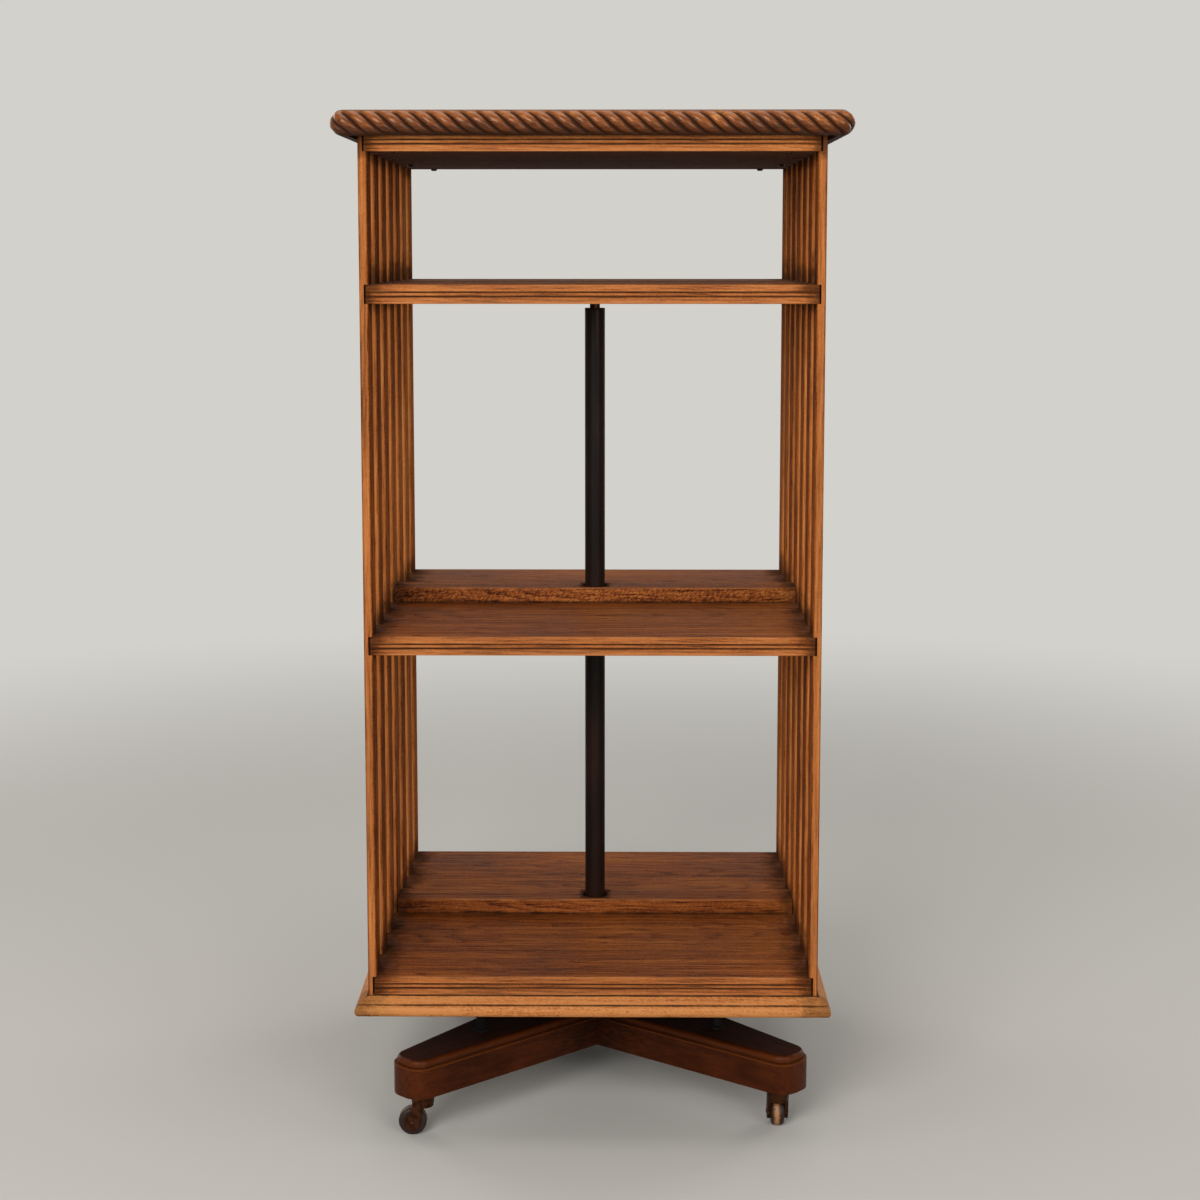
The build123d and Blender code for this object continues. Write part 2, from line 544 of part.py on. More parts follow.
for corner in CORNERS:
    # Castor plate: a collar under the arm, with a peg up into the wood and a stud for the horn
    ground = caster_plane(corner)
    plate_bottom = CASTER_HEIGHT - CASTER_PLATE_THICKNESS
    with BuildPart() as caster_plate:
        with BuildSketch(ground.offset(plate_bottom)):
            Circle(CASTER_PLATE_RADIUS)
        extrude(amount=CASTER_PLATE_THICKNESS)
        with BuildSketch(ground.offset(CASTER_HEIGHT)):
            Circle(PEG_DIAMETER / 2)
        extrude(amount=PEG_LENGTH - END_PLAY)
        with BuildSketch(ground.offset(plate_bottom - STUD_LENGTH)):
            Circle(STUD_DIAMETER / 2)
        extrude(amount=STUD_LENGTH)
    write(caster_plate, f"caster_plate_{corner}")

    # Castor horn: a round crown with two straps that sweep back to bosses beside the wheel
    across_wheel = axle_plane(ground, CASTER_TRAIL, WHEEL_DIAMETER / 2)
    half_fork = CASTER_FORK / 2 + CHEEK_THICKNESS
    half_strap = HORN_STRAP_WIDTH / 2
    half_root = HORN_ROOT_WIDTH / 2
    root_rise = CROWN_TOP - WHEEL_DIAMETER / 2
    with BuildPart() as caster_horn:
        with BuildSketch(across_wheel):
            Circle(HORN_BOSS_RADIUS)
            with BuildLine():
                Polyline(
                    (-half_strap, 0),
                    (half_strap, 0),
                    (half_root - CASTER_TRAIL, root_rise),
                    (-half_root - CASTER_TRAIL, root_rise),
                    close=True,
                )
            make_face()
        extrude(amount=half_fork, both=True)
        with BuildSketch(ground):
            with Locations((CASTER_TRAIL, 0)):
                Rectangle(2 * WHEEL_DIAMETER, CASTER_FORK)
        extrude(amount=CROWN_BOTTOM, mode=Mode.SUBTRACT)
        with BuildSketch(ground.offset(CROWN_BOTTOM)):
            Circle(half_fork)
        with BuildSketch(ground.offset(CROWN_TOP)):
            Circle(CROWN_TOP_RADIUS)
        loft()
        with BuildSketch(across_wheel):
            Circle(AXLE_DIAMETER / 2)
        extrude(amount=half_fork, both=True, mode=Mode.SUBTRACT)
        bore([ground.offset(CROWN_TOP - STUD_LENGTH)], STUD_DIAMETER / 2 + RUNNING_FIT, STUD_LENGTH)
    write(caster_horn, f"caster_horn_{corner}")

    write(axle_on(across_wheel, CASTER_FORK), f"caster_axle_{corner}")
    write(wheel_on(across_wheel, WHEEL_DIAMETER, WHEEL_WIDTH), f"caster_wheel_{corner}")

roller_axles = []
for corner in CORNERS:
    # Roller bracket: a flanged post pegged into the arm, forked round a roller that runs under the case
    seat = polar_plane(ROLLER_RADIUS, arm_angle(corner), ARM_TOP)
    tangent = Plane(origin=seat.origin, x_dir=seat.y_dir, z_dir=seat.z_dir)
    across_roller = axle_plane(tangent, 0, ROLLER_CENTRE - ARM_TOP)
    half_fork = ROLLER_FORK / 2 + CHEEK_THICKNESS
    bridge_bottom = BRACKET_BRIDGE_TOP - BRACKET_BRIDGE_HEIGHT
    with BuildPart() as roller_bracket:
        with BuildSketch(flipped(seat)):
            Circle(PEG_DIAMETER / 2)
        extrude(amount=PEG_LENGTH - END_PLAY)
        with BuildSketch(seat):
            Circle(BRACKET_FLANGE_RADIUS)
        extrude(amount=BRACKET_FLANGE_THICKNESS)
        with BuildSketch(seat):
            Circle(BRACKET_POST_RADIUS)
        extrude(amount=BRACKET_BRIDGE_TOP - ARM_TOP)
        with BuildSketch(across_roller):
            Circle(CHEEK_RADIUS)
            Rectangle(2 * CHEEK_RADIUS, ROLLER_CENTRE - bridge_bottom, align=(Align.CENTER, Align.MAX))
        extrude(amount=half_fork, both=True)
        with BuildSketch(seat.offset(BRACKET_BRIDGE_TOP - ARM_TOP)):
            Rectangle(ROLLER_FORK, 2 * ROLLER_DIAMETER)
        extrude(amount=ROLLER_DIAMETER + CROWN_GAP, mode=Mode.SUBTRACT)
        with BuildSketch(across_roller):
            Circle(AXLE_DIAMETER / 2)
        extrude(amount=half_fork, both=True, mode=Mode.SUBTRACT)
    write(roller_bracket, f"roller_bracket_{corner}")

    write(wheel_on(across_roller, ROLLER_DIAMETER, ROLLER_WIDTH), f"roller_{corner}")
    roller_axles.append(axle_on(across_roller, ROLLER_FORK).part)

with BuildPart() as roller_axle_set:
    for axle in roller_axles:
        add(axle)
write(roller_axle_set, "roller_axles")
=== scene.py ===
"""Looks of a revolving bookcase: waxed oak, carved rope edge, iron pole, stained cross base on castors."""
import json
import logging
from dataclasses import dataclass, field
from enum import Enum
from math import radians
from typing import Any, Iterable, Protocol, Sequence

import bmesh
import bpy
from bpy.types import Material, Node, NodeSocket, NodeTree, Object
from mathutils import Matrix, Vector


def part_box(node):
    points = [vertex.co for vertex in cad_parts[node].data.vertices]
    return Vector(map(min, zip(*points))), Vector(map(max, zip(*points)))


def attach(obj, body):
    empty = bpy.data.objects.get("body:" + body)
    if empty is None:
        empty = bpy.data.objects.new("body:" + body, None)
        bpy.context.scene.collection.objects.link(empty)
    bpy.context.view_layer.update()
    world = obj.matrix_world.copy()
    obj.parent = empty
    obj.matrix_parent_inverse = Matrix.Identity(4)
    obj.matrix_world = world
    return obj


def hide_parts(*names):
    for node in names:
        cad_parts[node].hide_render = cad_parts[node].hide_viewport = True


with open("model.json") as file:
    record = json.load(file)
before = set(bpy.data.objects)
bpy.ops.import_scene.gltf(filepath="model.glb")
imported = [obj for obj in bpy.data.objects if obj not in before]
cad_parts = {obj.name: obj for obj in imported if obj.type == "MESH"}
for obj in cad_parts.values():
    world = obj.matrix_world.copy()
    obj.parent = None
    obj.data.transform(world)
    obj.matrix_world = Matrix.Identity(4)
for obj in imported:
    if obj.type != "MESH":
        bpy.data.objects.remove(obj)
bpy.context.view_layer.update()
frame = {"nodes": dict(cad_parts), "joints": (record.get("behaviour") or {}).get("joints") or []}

MM = 0.001
PER_MM = 1 / MM
Triple = tuple[float, float, float]
Ramp = tuple[tuple[float, str], ...]
Inputs = dict[str, Any] | Sequence[Any]

# Kinds of node that most materials and the carving are made of
MATH = "ShaderNodeMath"
VECTOR = "ShaderNodeVectorMath"
RANGE = "ShaderNodeMapRange"
NOISE = "ShaderNodeTexNoise"
# Noise seldom leaves this range, so it is spread from here to zero and one
NOISE_SPREAD = (0.3, 0.7)
# Range that eases in and out at its ends
SMOOTH = {"interpolation_type": "SMOOTHSTEP"}

log = logging.getLogger("bookcase")


class Corner(Enum):
    """Corners of the cross base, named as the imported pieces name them."""

    FRONT_LEFT = "front_left"
    FRONT_RIGHT = "front_right"
    BACK_RIGHT = "back_right"
    BACK_LEFT = "back_left"


class Side(Enum):
    """Sides of the top, each with the turn in degrees that brings the front edge there."""

    FRONT = 0.0
    RIGHT = 90.0
    BACK = 180.0
    LEFT = 270.0


class Grain(Enum):
    """Way that a board's grain runs, as the turn in degrees that lays it along X."""

    ALONG_X = (0.0, 0.0, 0.0)
    ALONG_Z = (0.0, 90.0, 0.0)
    ALONG_UPPER_BEAM = (0.0, 0.0, -47.5)
    ALONG_LOWER_BEAM = (0.0, 0.0, -137.5)


def linear(colour: str) -> tuple[float, float, float, float]:
    """Turn an sRGB hex colour into linear light.

    Args:
        colour: Six hex digits after a hash sign.

    Returns:
        Linear red, green and blue, with full alpha.
    """
    shares = [int(colour[start:start + 2], 16) / 255 for start in (1, 3, 5)]
    light = [share / 12.92 if share <= 0.04045 else ((share + 0.055) / 1.055) ** 2.4 for share in shares]
    return light[0], light[1], light[2], 1.0


def wire(tree: NodeTree, node: Node, inputs: Inputs) -> None:
    """Link or set a node's inputs.

    Args:
        tree: Tree that holds the node.
        node: Node to wire.
        inputs: What the sockets get, by name or in order: a socket, a node's first output or a value.
    """
    for key, value in inputs.items() if isinstance(inputs, dict) else enumerate(inputs):
        source = value.outputs[0] if isinstance(value, Node) else value
        if isinstance(source, NodeSocket):
            tree.links.new(source, node.inputs[key])
        else:
            node.inputs[key].default_value = source


def add(
    tree: NodeTree,
    kind: str,
    inputs: Inputs = (),
    operation: str = "",
    stops: Sequence[tuple[float, str]] = (),
    **settings: Any,
) -> Node:
    """Add one node with its settings and links.

    Args:
        tree: Tree that gets the node.
        kind: Blender's name for the node's type.
        inputs: What the sockets get, by name or in order: a socket, a node's first output or a value.
        operation: What a maths node does with its inputs.
        stops: Places and sRGB hex colours of a colour ramp.
        settings: Properties of the node itself.

    Returns:
        The new node.
    """
    made = tree.nodes.new(kind)
    if operation:
        made.operation = operation
    for name, value in settings.items():
        setattr(made, name, value)
    wire(tree, made, inputs)
    if stops:
        ramp = made.color_ramp
        while len(ramp.elements) < len(stops):
            ramp.elements.new(1.0)
        for element, (place, colour) in zip(ramp.elements, stops):
            element.position = place
            element.color = linear(colour)
    return made


def declare(tree: NodeTree, way: str, sockets: dict[str, Sequence[str]]) -> None:
    """Give a tree its own named sockets.

    Args:
        tree: Tree that gets them.
        way: INPUT or OUTPUT.
        sockets: Names of the sockets of each kind.
    """
    for kind, names in sockets.items():
        for name in names:
            tree.interface.new_socket(name, in_out=way, socket_type=f"NodeSocket{kind}")


def limits(start: float, end: float, low: Any = 0.0, high: Any = 1.0) -> dict[str, Any]:
    """Say where a range starts and ends, and what it gives there."""
    return {"From Min": start, "From Max": end, "To Min": low, "To Max": high}


def new_material(name: str) -> tuple[Material, NodeTree, Node]:
    """Start a material with a Principled shader.

    Args:
        name: What the material is, in plain words.

    Returns:
        The material, its tree and its shader node.
    """
    material = bpy.data.materials.new(name)
    material.use_nodes = True
    tree = material.node_tree
    return material, tree, tree.nodes["Principled BSDF"]


def place_in_mm(tree: NodeTree) -> NodeSocket:
    """Read the place on a piece, in millimetres of the frame."""
    spot = add(tree, "ShaderNodeTexCoord").outputs["Object"]
    return add(tree, VECTOR, {"Vector": spot, "Scale": PER_MM}, "SCALE").outputs[0]


def along_grain(tree: NodeTree, place: Node | NodeSocket, grain: Grain) -> Node:
    """Turn a place so that the grain runs along X."""
    turn = [radians(angle) for angle in grain.value]
    return add(tree, "ShaderNodeMapping", {"Vector": place, "Rotation": turn})


def drawn_noise(tree: NodeTree, place: Node | NodeSocket, size: Triple, detail: float) -> Node:
    """Add noise whose blotches have a size in millimetres along each axis."""
    drawn = add(tree, VECTOR, [place, size], "DIVIDE")
    return add(tree, NOISE, {"Vector": drawn, "Scale": 1.0, "Detail": detail})


def weighed(tree: NodeTree, start: NodeSocket | float, parts: Iterable[tuple[Any, float]]) -> NodeSocket:
    """Add up parts by their weights.

    Args:
        tree: Tree that holds the parts.
        start: What the sum starts from.
        parts: Nodes or sockets, each with its weight.

    Returns:
        Socket with the sum.
    """
    total = start
    for part, weight in parts:
        total = add(tree, MATH, [part, weight, total], "MULTIPLY_ADD").outputs[0]
    return total


def layered(tree: NodeTree, colour: Any, layers: Iterable[tuple[Any, str]]) -> NodeSocket:
    """Lay colours over one another.

    Args:
        tree: Material tree.
        colour: What lies under them.
        layers: Masks, each with its sRGB hex colour.

    Returns:
        Socket with the mixed colour.
    """
    for cover, over in layers:
        mixed = {"Factor": cover, "A": colour, "B": linear(over)}
        colour = add(tree, "ShaderNodeMix", mixed, data_type="RGBA").outputs["Result"]
    return colour


@dataclass(frozen=True)
class Zone:
    """Soft-edged box, mirrored about the pole, where dirt has settled or polish has worn, or where shade or a
    highlight is painted.

    The middle, the half size and the width of the faded edge along each axis are in millimetres.
    """

    middle: Triple
    half: Triple
    fade: Triple
    strength: float


def zone_mask(
    tree: NodeTree, place: NodeSocket, ragged: NodeSocket, zones: Iterable[Zone]
) -> NodeSocket | float:
    """Find how strongly the zones cover each point of a surface.

    Args:
        tree: Material tree.
        place: Place in millimetres, mirrored for zones on both sides of the pole.
        ragged: Noise about zero, which breaks up the zones' edges.
        zones: Zones to draw.

    Returns:
        Socket with the strongest zone at each point, or zero where there are no zones.
    """
    strongest: NodeSocket | float = 0.0
    for zone in zones:
        shares = [1 / fade for fade in zone.fade]
        starts = [-half * share for half, share in zip(zone.half, shares)]
        offset = add(tree, VECTOR, [place, zone.middle], "SUBTRACT")
        apart = add(tree, VECTOR, [offset], "ABSOLUTE")
        beyond = add(tree, VECTOR, [apart, shares, starts], "MULTIPLY_ADD")
        outside = add(tree, VECTOR, [beyond, (0.0, 0.0, 0.0)], "MAXIMUM")
        distance = add(tree, VECTOR, [outside], "LENGTH").outputs["Value"]
        broken = add(tree, MATH, [ragged, distance], "ADD")
        cover = add(tree, RANGE, {"Value": broken, "To Min": zone.strength, "To Max": 0.0}, **SMOOTH)
        strongest = add(tree, MATH, [strongest, cover], "MAXIMUM").outputs[0]
    return strongest


class Finish(Protocol):
    """Anything that can make a material."""

    name: str

    def material(self) -> Material:
        """Make the material."""


@dataclass(frozen=True)
class OakFigure:
    """Figure of sawn oak: growth rings, open pores, ray flecks and glued-up boards, all in millimetres.

    Pores are drawn three times their real width, so that they show in the render.
    """

    name: str = "oak_figure"
    ring_width: float = 4.6
    ring_bend: float = 15.0
    ring_run: float = 0.035
    early_share: float = 0.55
    pith_depth: float = 45.0
    fibre: Triple = (70.0, 2.4, 2.4)
    pore: Triple = (24.0, 1.1, 1.1)
    streak: Triple = (320.0, 11.0, 11.0)
    bend: Triple = (240.0, 46.0, 46.0)
    fleck: Triple = (5.2, 1.25, 1.25)
    patina: float = 150.0
    joint_width: float = 0.8
    log_spread: Triple = (900.0, 70.0, 60.0)
    tones: Ramp = ((0.0, "#260d03"), (0.28, "#5a290c"), (0.5, "#834419"), (0.72, "#a05a26"), (1.0, "#bb7c41"))
    worn: str = "#bf7a46"
    grime: str = "#1a0c05"
    waxed_roughness: float = 0.46

    def group(self) -> NodeTree:
        """Make the shader group, or return it if it is there already.

        Returns:
            Group with Color, Roughness and Height outputs.
        """
        found = bpy.data.node_groups.get(self.name)
        if found:
            return found
        tree = bpy.data.node_groups.new(self.name, "ShaderNodeTree")
        numbers = ("Board Width", "Fleck", "Wear", "Grime", "Tone")
        declare(tree, "INPUT", {"Vector": ("Place", "Fleck Turn"), "Float": numbers})
        declare(tree, "OUTPUT", {"Color": ("Color",), "Float": ("Roughness", "Height")})
        given = add(tree, "NodeGroupInput").outputs
        place = given["Place"]
        split = add(tree, "ShaderNodeSeparateXYZ", [place]).outputs

        # Each glued board is cut from its own part of the log
        strip = add(tree, MATH, [split["Y"], given["Board Width"]], "DIVIDE")
        number = add(tree, MATH, [strip], "FLOOR")
        draw = add(tree, "ShaderNodeTexWhiteNoise", {"W": number}, noise_dimensions="1D").outputs
        shift = add(tree, VECTOR, [draw["Color"], self.log_spread], "MULTIPLY")
        cut = add(tree, VECTOR, [place, shift], "ADD")
        across = add(tree, MATH, [strip], "FRACT")
        from_pith = add(tree, MATH, [across, draw["Value"]], "SUBTRACT")
        side = add(tree, MATH, [from_pith, given["Board Width"]], "MULTIPLY")
        drop = add(tree, "ShaderNodeSeparateXYZ", [cut]).outputs["Z"]
        down = add(tree, MATH, [drop, self.pith_depth], "ADD")
        arm = add(tree, "ShaderNodeCombineXYZ", {"Y": side, "Z": down})
        radius = add(tree, VECTOR, [arm], "LENGTH").outputs["Value"]

        # Noise drawn out along the grain
        turned = add(tree, "ShaderNodeMapping", {"Vector": cut, "Rotation": given["Fleck Turn"]})
        grains = {}
        for name, origin, size, detail in (
            ("fibre", cut, self.fibre, 4.0), ("pore", cut, self.pore, 1.0), ("streak", cut, self.streak, 3.0),
            ("bend", cut, self.bend, 2.0), ("fleck", turned, self.fleck, 1.5),
            ("patina", place, (self.patina,) * 3, 2.0),
        ):
            noise = drawn_noise(tree, origin, size, detail)
            grains[name] = add(tree, RANGE, {"Value": noise, **limits(*NOISE_SPREAD)})

        # Growth rings: a dark porous start that fades into dense wood
        bent = weighed(tree, radius, ((grains["bend"], self.ring_bend), (split["X"], self.ring_run)))
        turns = add(tree, MATH, [bent, self.ring_width], "DIVIDE")
        phase = add(tree, MATH, [turns], "FRACT")
        early = add(tree, RANGE, {"Value": phase, **limits(0.0, self.early_share, 1.0, 0.0)}, **SMOOTH)
        spots = add(tree, RANGE, {"Value": grains["pore"], **limits(0.55, 0.9)})
        share = weighed(tree, 0.4, [(early, 0.6)])
        pores = add(tree, MATH, [spots, share], "MULTIPLY")
        flecks = add(tree, RANGE, {"Value": grains["fleck"], **limits(0.42, 0.7, -0.4)})

        # Thin dark line where two boards are glued
        inward = add(tree, MATH, [across, 0.5], "PINGPONG")
        to_joint = add(tree, MATH, [inward, given["Board Width"]], "MULTIPLY")
        joint = add(tree, RANGE, {"Value": to_joint, **limits(0.0, self.joint_width, 1.0, 0.0)})

        # Tone of the polished wood
        tone = weighed(tree, given["Tone"], (
            (grains["fibre"], 0.26), (grains["streak"], 0.3), (grains["patina"], 0.22), (early, -0.12),
            (pores, -0.36), (draw["Value"], 0.2), (joint, -0.2),
        ))
        lit = add(tree, MATH, [flecks, given["Fleck"], tone], "MULTIPLY_ADD")
        wood = add(tree, "ShaderNodeValToRGB", {"Fac": lit}, stops=self.tones)
        rubbed = weighed(tree, 0.3, [(grains["fibre"], 0.9)])
        # Pale where polish is worn and where highlights are painted; dark where grime lies and where shade is
        # painted
        wear = add(tree, MATH, [given["Wear"], rubbed], "MULTIPLY", use_clamp=True)
        layers = ((wear, self.worn), (given["Grime"], self.grime))
        colour = layered(tree, wood.outputs["Color"], layers)

        # Wax lies smooth on dense wood and dulls in the pores, the dirt and the painted shade
        dulled = ((pores, 0.15), (grains["patina"], 0.1), (given["Grime"], 0.4))
        rough = weighed(tree, self.waxed_roughness, dulled)
        sunk = add(tree, MATH, [pores, joint], "MAXIMUM")
        height = add(tree, MATH, [grains["fibre"], sunk], "SUBTRACT")
        add(tree, "NodeGroupOutput", {"Color": colour, "Roughness": rough, "Height": height})
        return tree


@dataclass(frozen=True)
class WaxedOak:
    """Oak, stained golden brown and waxed: satin, with dark pores, worn arrises, dirt and painted shade in
    the corners, and painted highlights on some edges.
    """

    name: str
    grain: Grain
    middle: Triple
    board_width: float
    grime: tuple[Zone, ...] = ()
    wear: tuple[Zone, ...] = ()
    fleck: float = 0.1
    fleck_turn: Triple = (0.0, -20.0, 20.0)
    tone: float = 0.2
    ragged_size: float = 14.0
    ragged_depth: float = 1.4
    pore_depth: float = 0.4
    speck_size: Triple = (17.0, 15.0, 9.0)
    speck_edge: tuple[float, float] = (0.03, 0.12)
    specks: float = 0.0
    specular: float = 0.1
    matt: float = 0.1

    def material(self) -> Material:
        """Make the material.

        Returns:
            Oak material in the frame's own coordinates.
        """
        material, tree, shader = new_material(self.name)
        place = place_in_mm(tree)
        inner = add(tree, VECTOR, [place, self.middle], "SUBTRACT")
        mirrored = add(tree, VECTOR, [place], "ABSOLUTE").outputs[0]
        noise = drawn_noise(tree, place, (self.ragged_size,) * 3, 3.0)
        ragged = weighed(tree, -self.ragged_depth / 2, [(noise, self.ragged_depth)])
        grime = zone_mask(tree, mirrored, ragged, self.grime)
        if self.specks:
            drawn = add(tree, VECTOR, [place, self.speck_size], "DIVIDE")
            cells = add(tree, "ShaderNodeTexVoronoi", {"Vector": drawn, "Scale": 1.0}).outputs["Distance"]
            dents = add(tree, RANGE, {"Value": cells, **limits(*self.speck_edge, self.specks, 0.0)})
            grime = add(tree, MATH, [grime, dents], "MAXIMUM").outputs[0]
        oak = add(tree, "ShaderNodeGroup", {
            "Place": along_grain(tree, inner, self.grain),
            "Fleck Turn": [radians(angle) for angle in self.fleck_turn],
            "Board Width": self.board_width, "Fleck": self.fleck, "Tone": self.tone,
            "Grime": grime, "Wear": zone_mask(tree, mirrored, ragged, self.wear),
        }, node_tree=OakFigure().group()).outputs
        relief = {"Height": oak["Height"], "Strength": self.pore_depth, "Distance": 0.4 * MM}
        rough = add(tree, MATH, [oak["Roughness"], self.matt], "ADD", use_clamp=True)
        wire(tree, shader, {
            "Base Color": oak["Color"], "Roughness": rough, "Normal": add(tree, "ShaderNodeBump", relief),
            "IOR": 1.5, "Specular IOR Level": self.specular,
        })
        return material


@dataclass(frozen=True)
class CarvedOak:
    """Carved oak, darker than the boards: dirt in the hollows of the strands, polish on their crests, painted
    light on their upper part.

    The rims are heights, as shares of the radius, between which painted shade darkens the top edge and the
    underside.
    """

    name: str
    hollow: str
    axis_height: float
    radius: float
    streak: Triple = (46.0, 2.6, 2.6)
    patina: float = 30.0
    tones: Ramp = ((0.0, "#2a1104"), (0.35, "#56290c"), (0.65, "#84481d"), (1.0, "#b87a3a"))
    grime: str = "#291004"
    polish: str = "#ecd8c4"
    dark_tone: float = -0.57
    dirty_depths: tuple[float, float] = (0.14, 0.72)
    rims: tuple[tuple[float, float], ...] = ((0.86, 0.99), (-0.6, -0.92))
    rim_painted_shade: float = 0.78
    hollow_dirt: float = 0.95
    lit_share: float = 0.6
    smooth: float = 0.26
    dull: float = 0.9

    def level(self, share: float) -> float:
        """Find a height on the rope from its share of the radius."""
        return self.axis_height + share * self.radius

    def material(self) -> Material:
        """Make the material.

        Returns:
            Material that reads the carving's depth from the mesh.
        """
        material, tree, shader = new_material(self.name)
        place = place_in_mm(tree)
        streak = drawn_noise(tree, place, self.streak, 4.0)
        patina = drawn_noise(tree, place, (self.patina,) * 3, 3.0)
        height = add(tree, "ShaderNodeSeparateXYZ", [place]).outputs["Z"]
        # Painted light: the strands grow lighter from the rope's underside up to the lit share of the radius,
        # as if lit from above
        lit = limits(self.level(-1.0), self.level(self.lit_share))
        painted_top_light = add(tree, RANGE, {"Value": height, **lit})
        carving = add(tree, "ShaderNodeAttribute", attribute_name=self.hollow, attribute_type="GEOMETRY")
        tone = weighed(tree, self.dark_tone, ((streak, 0.75), (patina, 0.65), (painted_top_light, 0.5)))
        wood = add(tree, "ShaderNodeValToRGB", {"Fac": tone}, stops=self.tones)
        depths = limits(*self.dirty_depths, 0.0, self.hollow_dirt)
        dirt_and_shade = add(tree, RANGE, {"Value": carving.outputs["Fac"], **depths}, **SMOOTH)
        # Painted shade along the rope's top edge and its underside
        for start, end in self.rims:
            heights = limits(self.level(start), self.level(end), 0.0, self.rim_painted_shade)
            rim = add(tree, RANGE, {"Value": height, **heights})
            dirt_and_shade = add(tree, MATH, [dirt_and_shade, rim], "MAXIMUM")
        colour = layered(tree, wood.outputs["Color"], [(dirt_and_shade, self.grime)])
        rough = add(tree, RANGE, {"Value": dirt_and_shade, "To Min": self.smooth, "To Max": self.dull})
        bump = add(tree, "ShaderNodeBump", {"Height": streak, "Strength": 0.3, "Distance": 0.4 * MM})
        wire(tree, shader, {
            "Base Color": colour, "Roughness": rough, "Normal": bump,
            "IOR": 1.5, "Specular IOR Level": 0.4, "Specular Tint": linear(self.polish),
        })
        return material


@dataclass(frozen=True)
class StainedWood:
    """Close-grained hardwood, stained dark brown and polished: glossy sides, dull dark top of dust and
    painted shade, worn step with painted light on its face.
    """

    name: str
    grain: Grain
    grime: tuple[Zone, ...] = ()
    wear: tuple[Zone, ...] = ()
    streak: Triple = (170.0, 5.0, 5.0)
    pore: Triple = (24.0, 1.4, 1.4)
    patina: float = 60.0
    tones: Ramp = ((0.0, "#150500"), (0.4, "#341303"), (0.7, "#4d2006"), (1.0, "#6c340d"))
    worn: str = "#8d4a1b"
    dirt_and_shade: str = "#1a0802"
    dark_tone: float = -0.2
    ragged_depth: float = 2.0
    polished: tuple[float, float] = (0.24, 0.42)
    dust_matt: float = 0.7

    def material(self) -> Material:
        """Make the material.

        Returns:
            Stained wood with its grain along the beam.
        """
        material, tree, shader = new_material(self.name)
        place = place_in_mm(tree)
        along = along_grain(tree, place, self.grain)
        sizes = (self.streak, self.pore, (self.patina,) * 3)
        streak, pore, patina = (drawn_noise(tree, along, size, 3.0) for size in sizes)
        tone = weighed(tree, self.dark_tone, ((streak, 0.5), (pore, 0.3), (patina, 0.6)))
        wood = add(tree, "ShaderNodeValToRGB", {"Fac": tone}, stops=self.tones)
        ragged = weighed(tree, -self.ragged_depth / 2, [(pore, self.ragged_depth)])
        rubbed, dust_and_shade = (zone_mask(tree, place, ragged, zones) for zones in (self.wear, self.grime))
        # Pale where rubbed and where light is painted; dark where dust lies and where shade is painted
        colour = layered(tree, wood.outputs["Color"], ((rubbed, self.worn), (dust_and_shade, self.dirt_and_shade)))
        polish = add(tree, RANGE, {"Value": patina, **limits(*NOISE_SPREAD, *self.polished)})
        rough = add(tree, MATH, [dust_and_shade, self.dust_matt, polish], "MULTIPLY_ADD", use_clamp=True)
        bump = add(tree, "ShaderNodeBump", {"Height": pore, "Strength": 0.15, "Distance": 0.3 * MM})
        wire(tree, shader, {
            "Base Color": colour, "Roughness": rough, "Normal": bump, "IOR": 1.5, "Specular IOR Level": 0.1,
        })
        return material


@dataclass(frozen=True)
class Metal:
    """Old metal: two tones mixed by the way that its surface has aged, with fine scratches."""

    name: str
    bright: str
    aged: str
    metallic: float
    smooth: float
    dull: float
    specular: float = 0.5
    blotch: Triple = (12.0, 12.0, 12.0)
    spread: tuple[float, float] = (0.4, 0.62)
    grit: float = 1.2
    relief: float = 0.1

    def material(self) -> Material:
        """Make the material.

        Returns:
            Metal or lacquer with blotches of age.
        """
        material, tree, shader = new_material(self.name)
        place = place_in_mm(tree)
        blotch = drawn_noise(tree, place, self.blotch, 4.0)
        grit = drawn_noise(tree, place, (self.grit,) * 3, 2.0)
        age = add(tree, RANGE, {"Value": blotch, **limits(*self.spread)}, **SMOOTH)
        colour = layered(tree, linear(self.bright), [(age, self.aged)])
        rough = add(tree, RANGE, {"Value": age, "To Min": self.smooth, "To Max": self.dull})
        bump = add(tree, "ShaderNodeBump", {"Height": grit, "Strength": self.relief, "Distance": 0.2 * MM})
        wire(tree, shader, {
            "Base Color": colour, "Roughness": rough, "Normal": bump,
            "Metallic": self.metallic, "Specular IOR Level": self.specular,
        })
        return material


# Black lacquer on an iron tube: nearly black, with a brown cast where hands have rubbed it
POLE_LACQUER = Metal(
    "black_lacquered_iron", "#22130c", "#120a07", metallic=0.0, smooth=0.34, dull=0.48, specular=0.1,
    blotch=(30.0, 30.0, 140.0),
)
# Cast iron under old black paint: dull and slightly grainy
CAST_IRON = Metal(
    "black_cast_iron", "#15100d", "#0b0706", metallic=0.0, smooth=0.6, dull=0.8, specular=0.18,
    grit=2.0, relief=0.35,
)
# Steel that has gone grey-brown: screws and axles out of sight
DULL_STEEL = Metal("dull_steel", "#7d746b", "#3d332b", metallic=1.0, smooth=0.32, dull=0.5)
# Steel browned with age: screws and pins, as dark as what they go into
BROWNED_STEEL = Metal("browned_steel", "#4a3123", "#2c1a11", metallic=1.0, smooth=0.4, dull=0.55)
# Brass that has browned with age: bronze tone, brighter where it is rubbed
AGED_BRASS = Metal(
    "aged_brass", "#50301f", "#321b10", metallic=1.0, smooth=0.42, dull=0.58, blotch=(7.0, 7.0, 7.0)
)


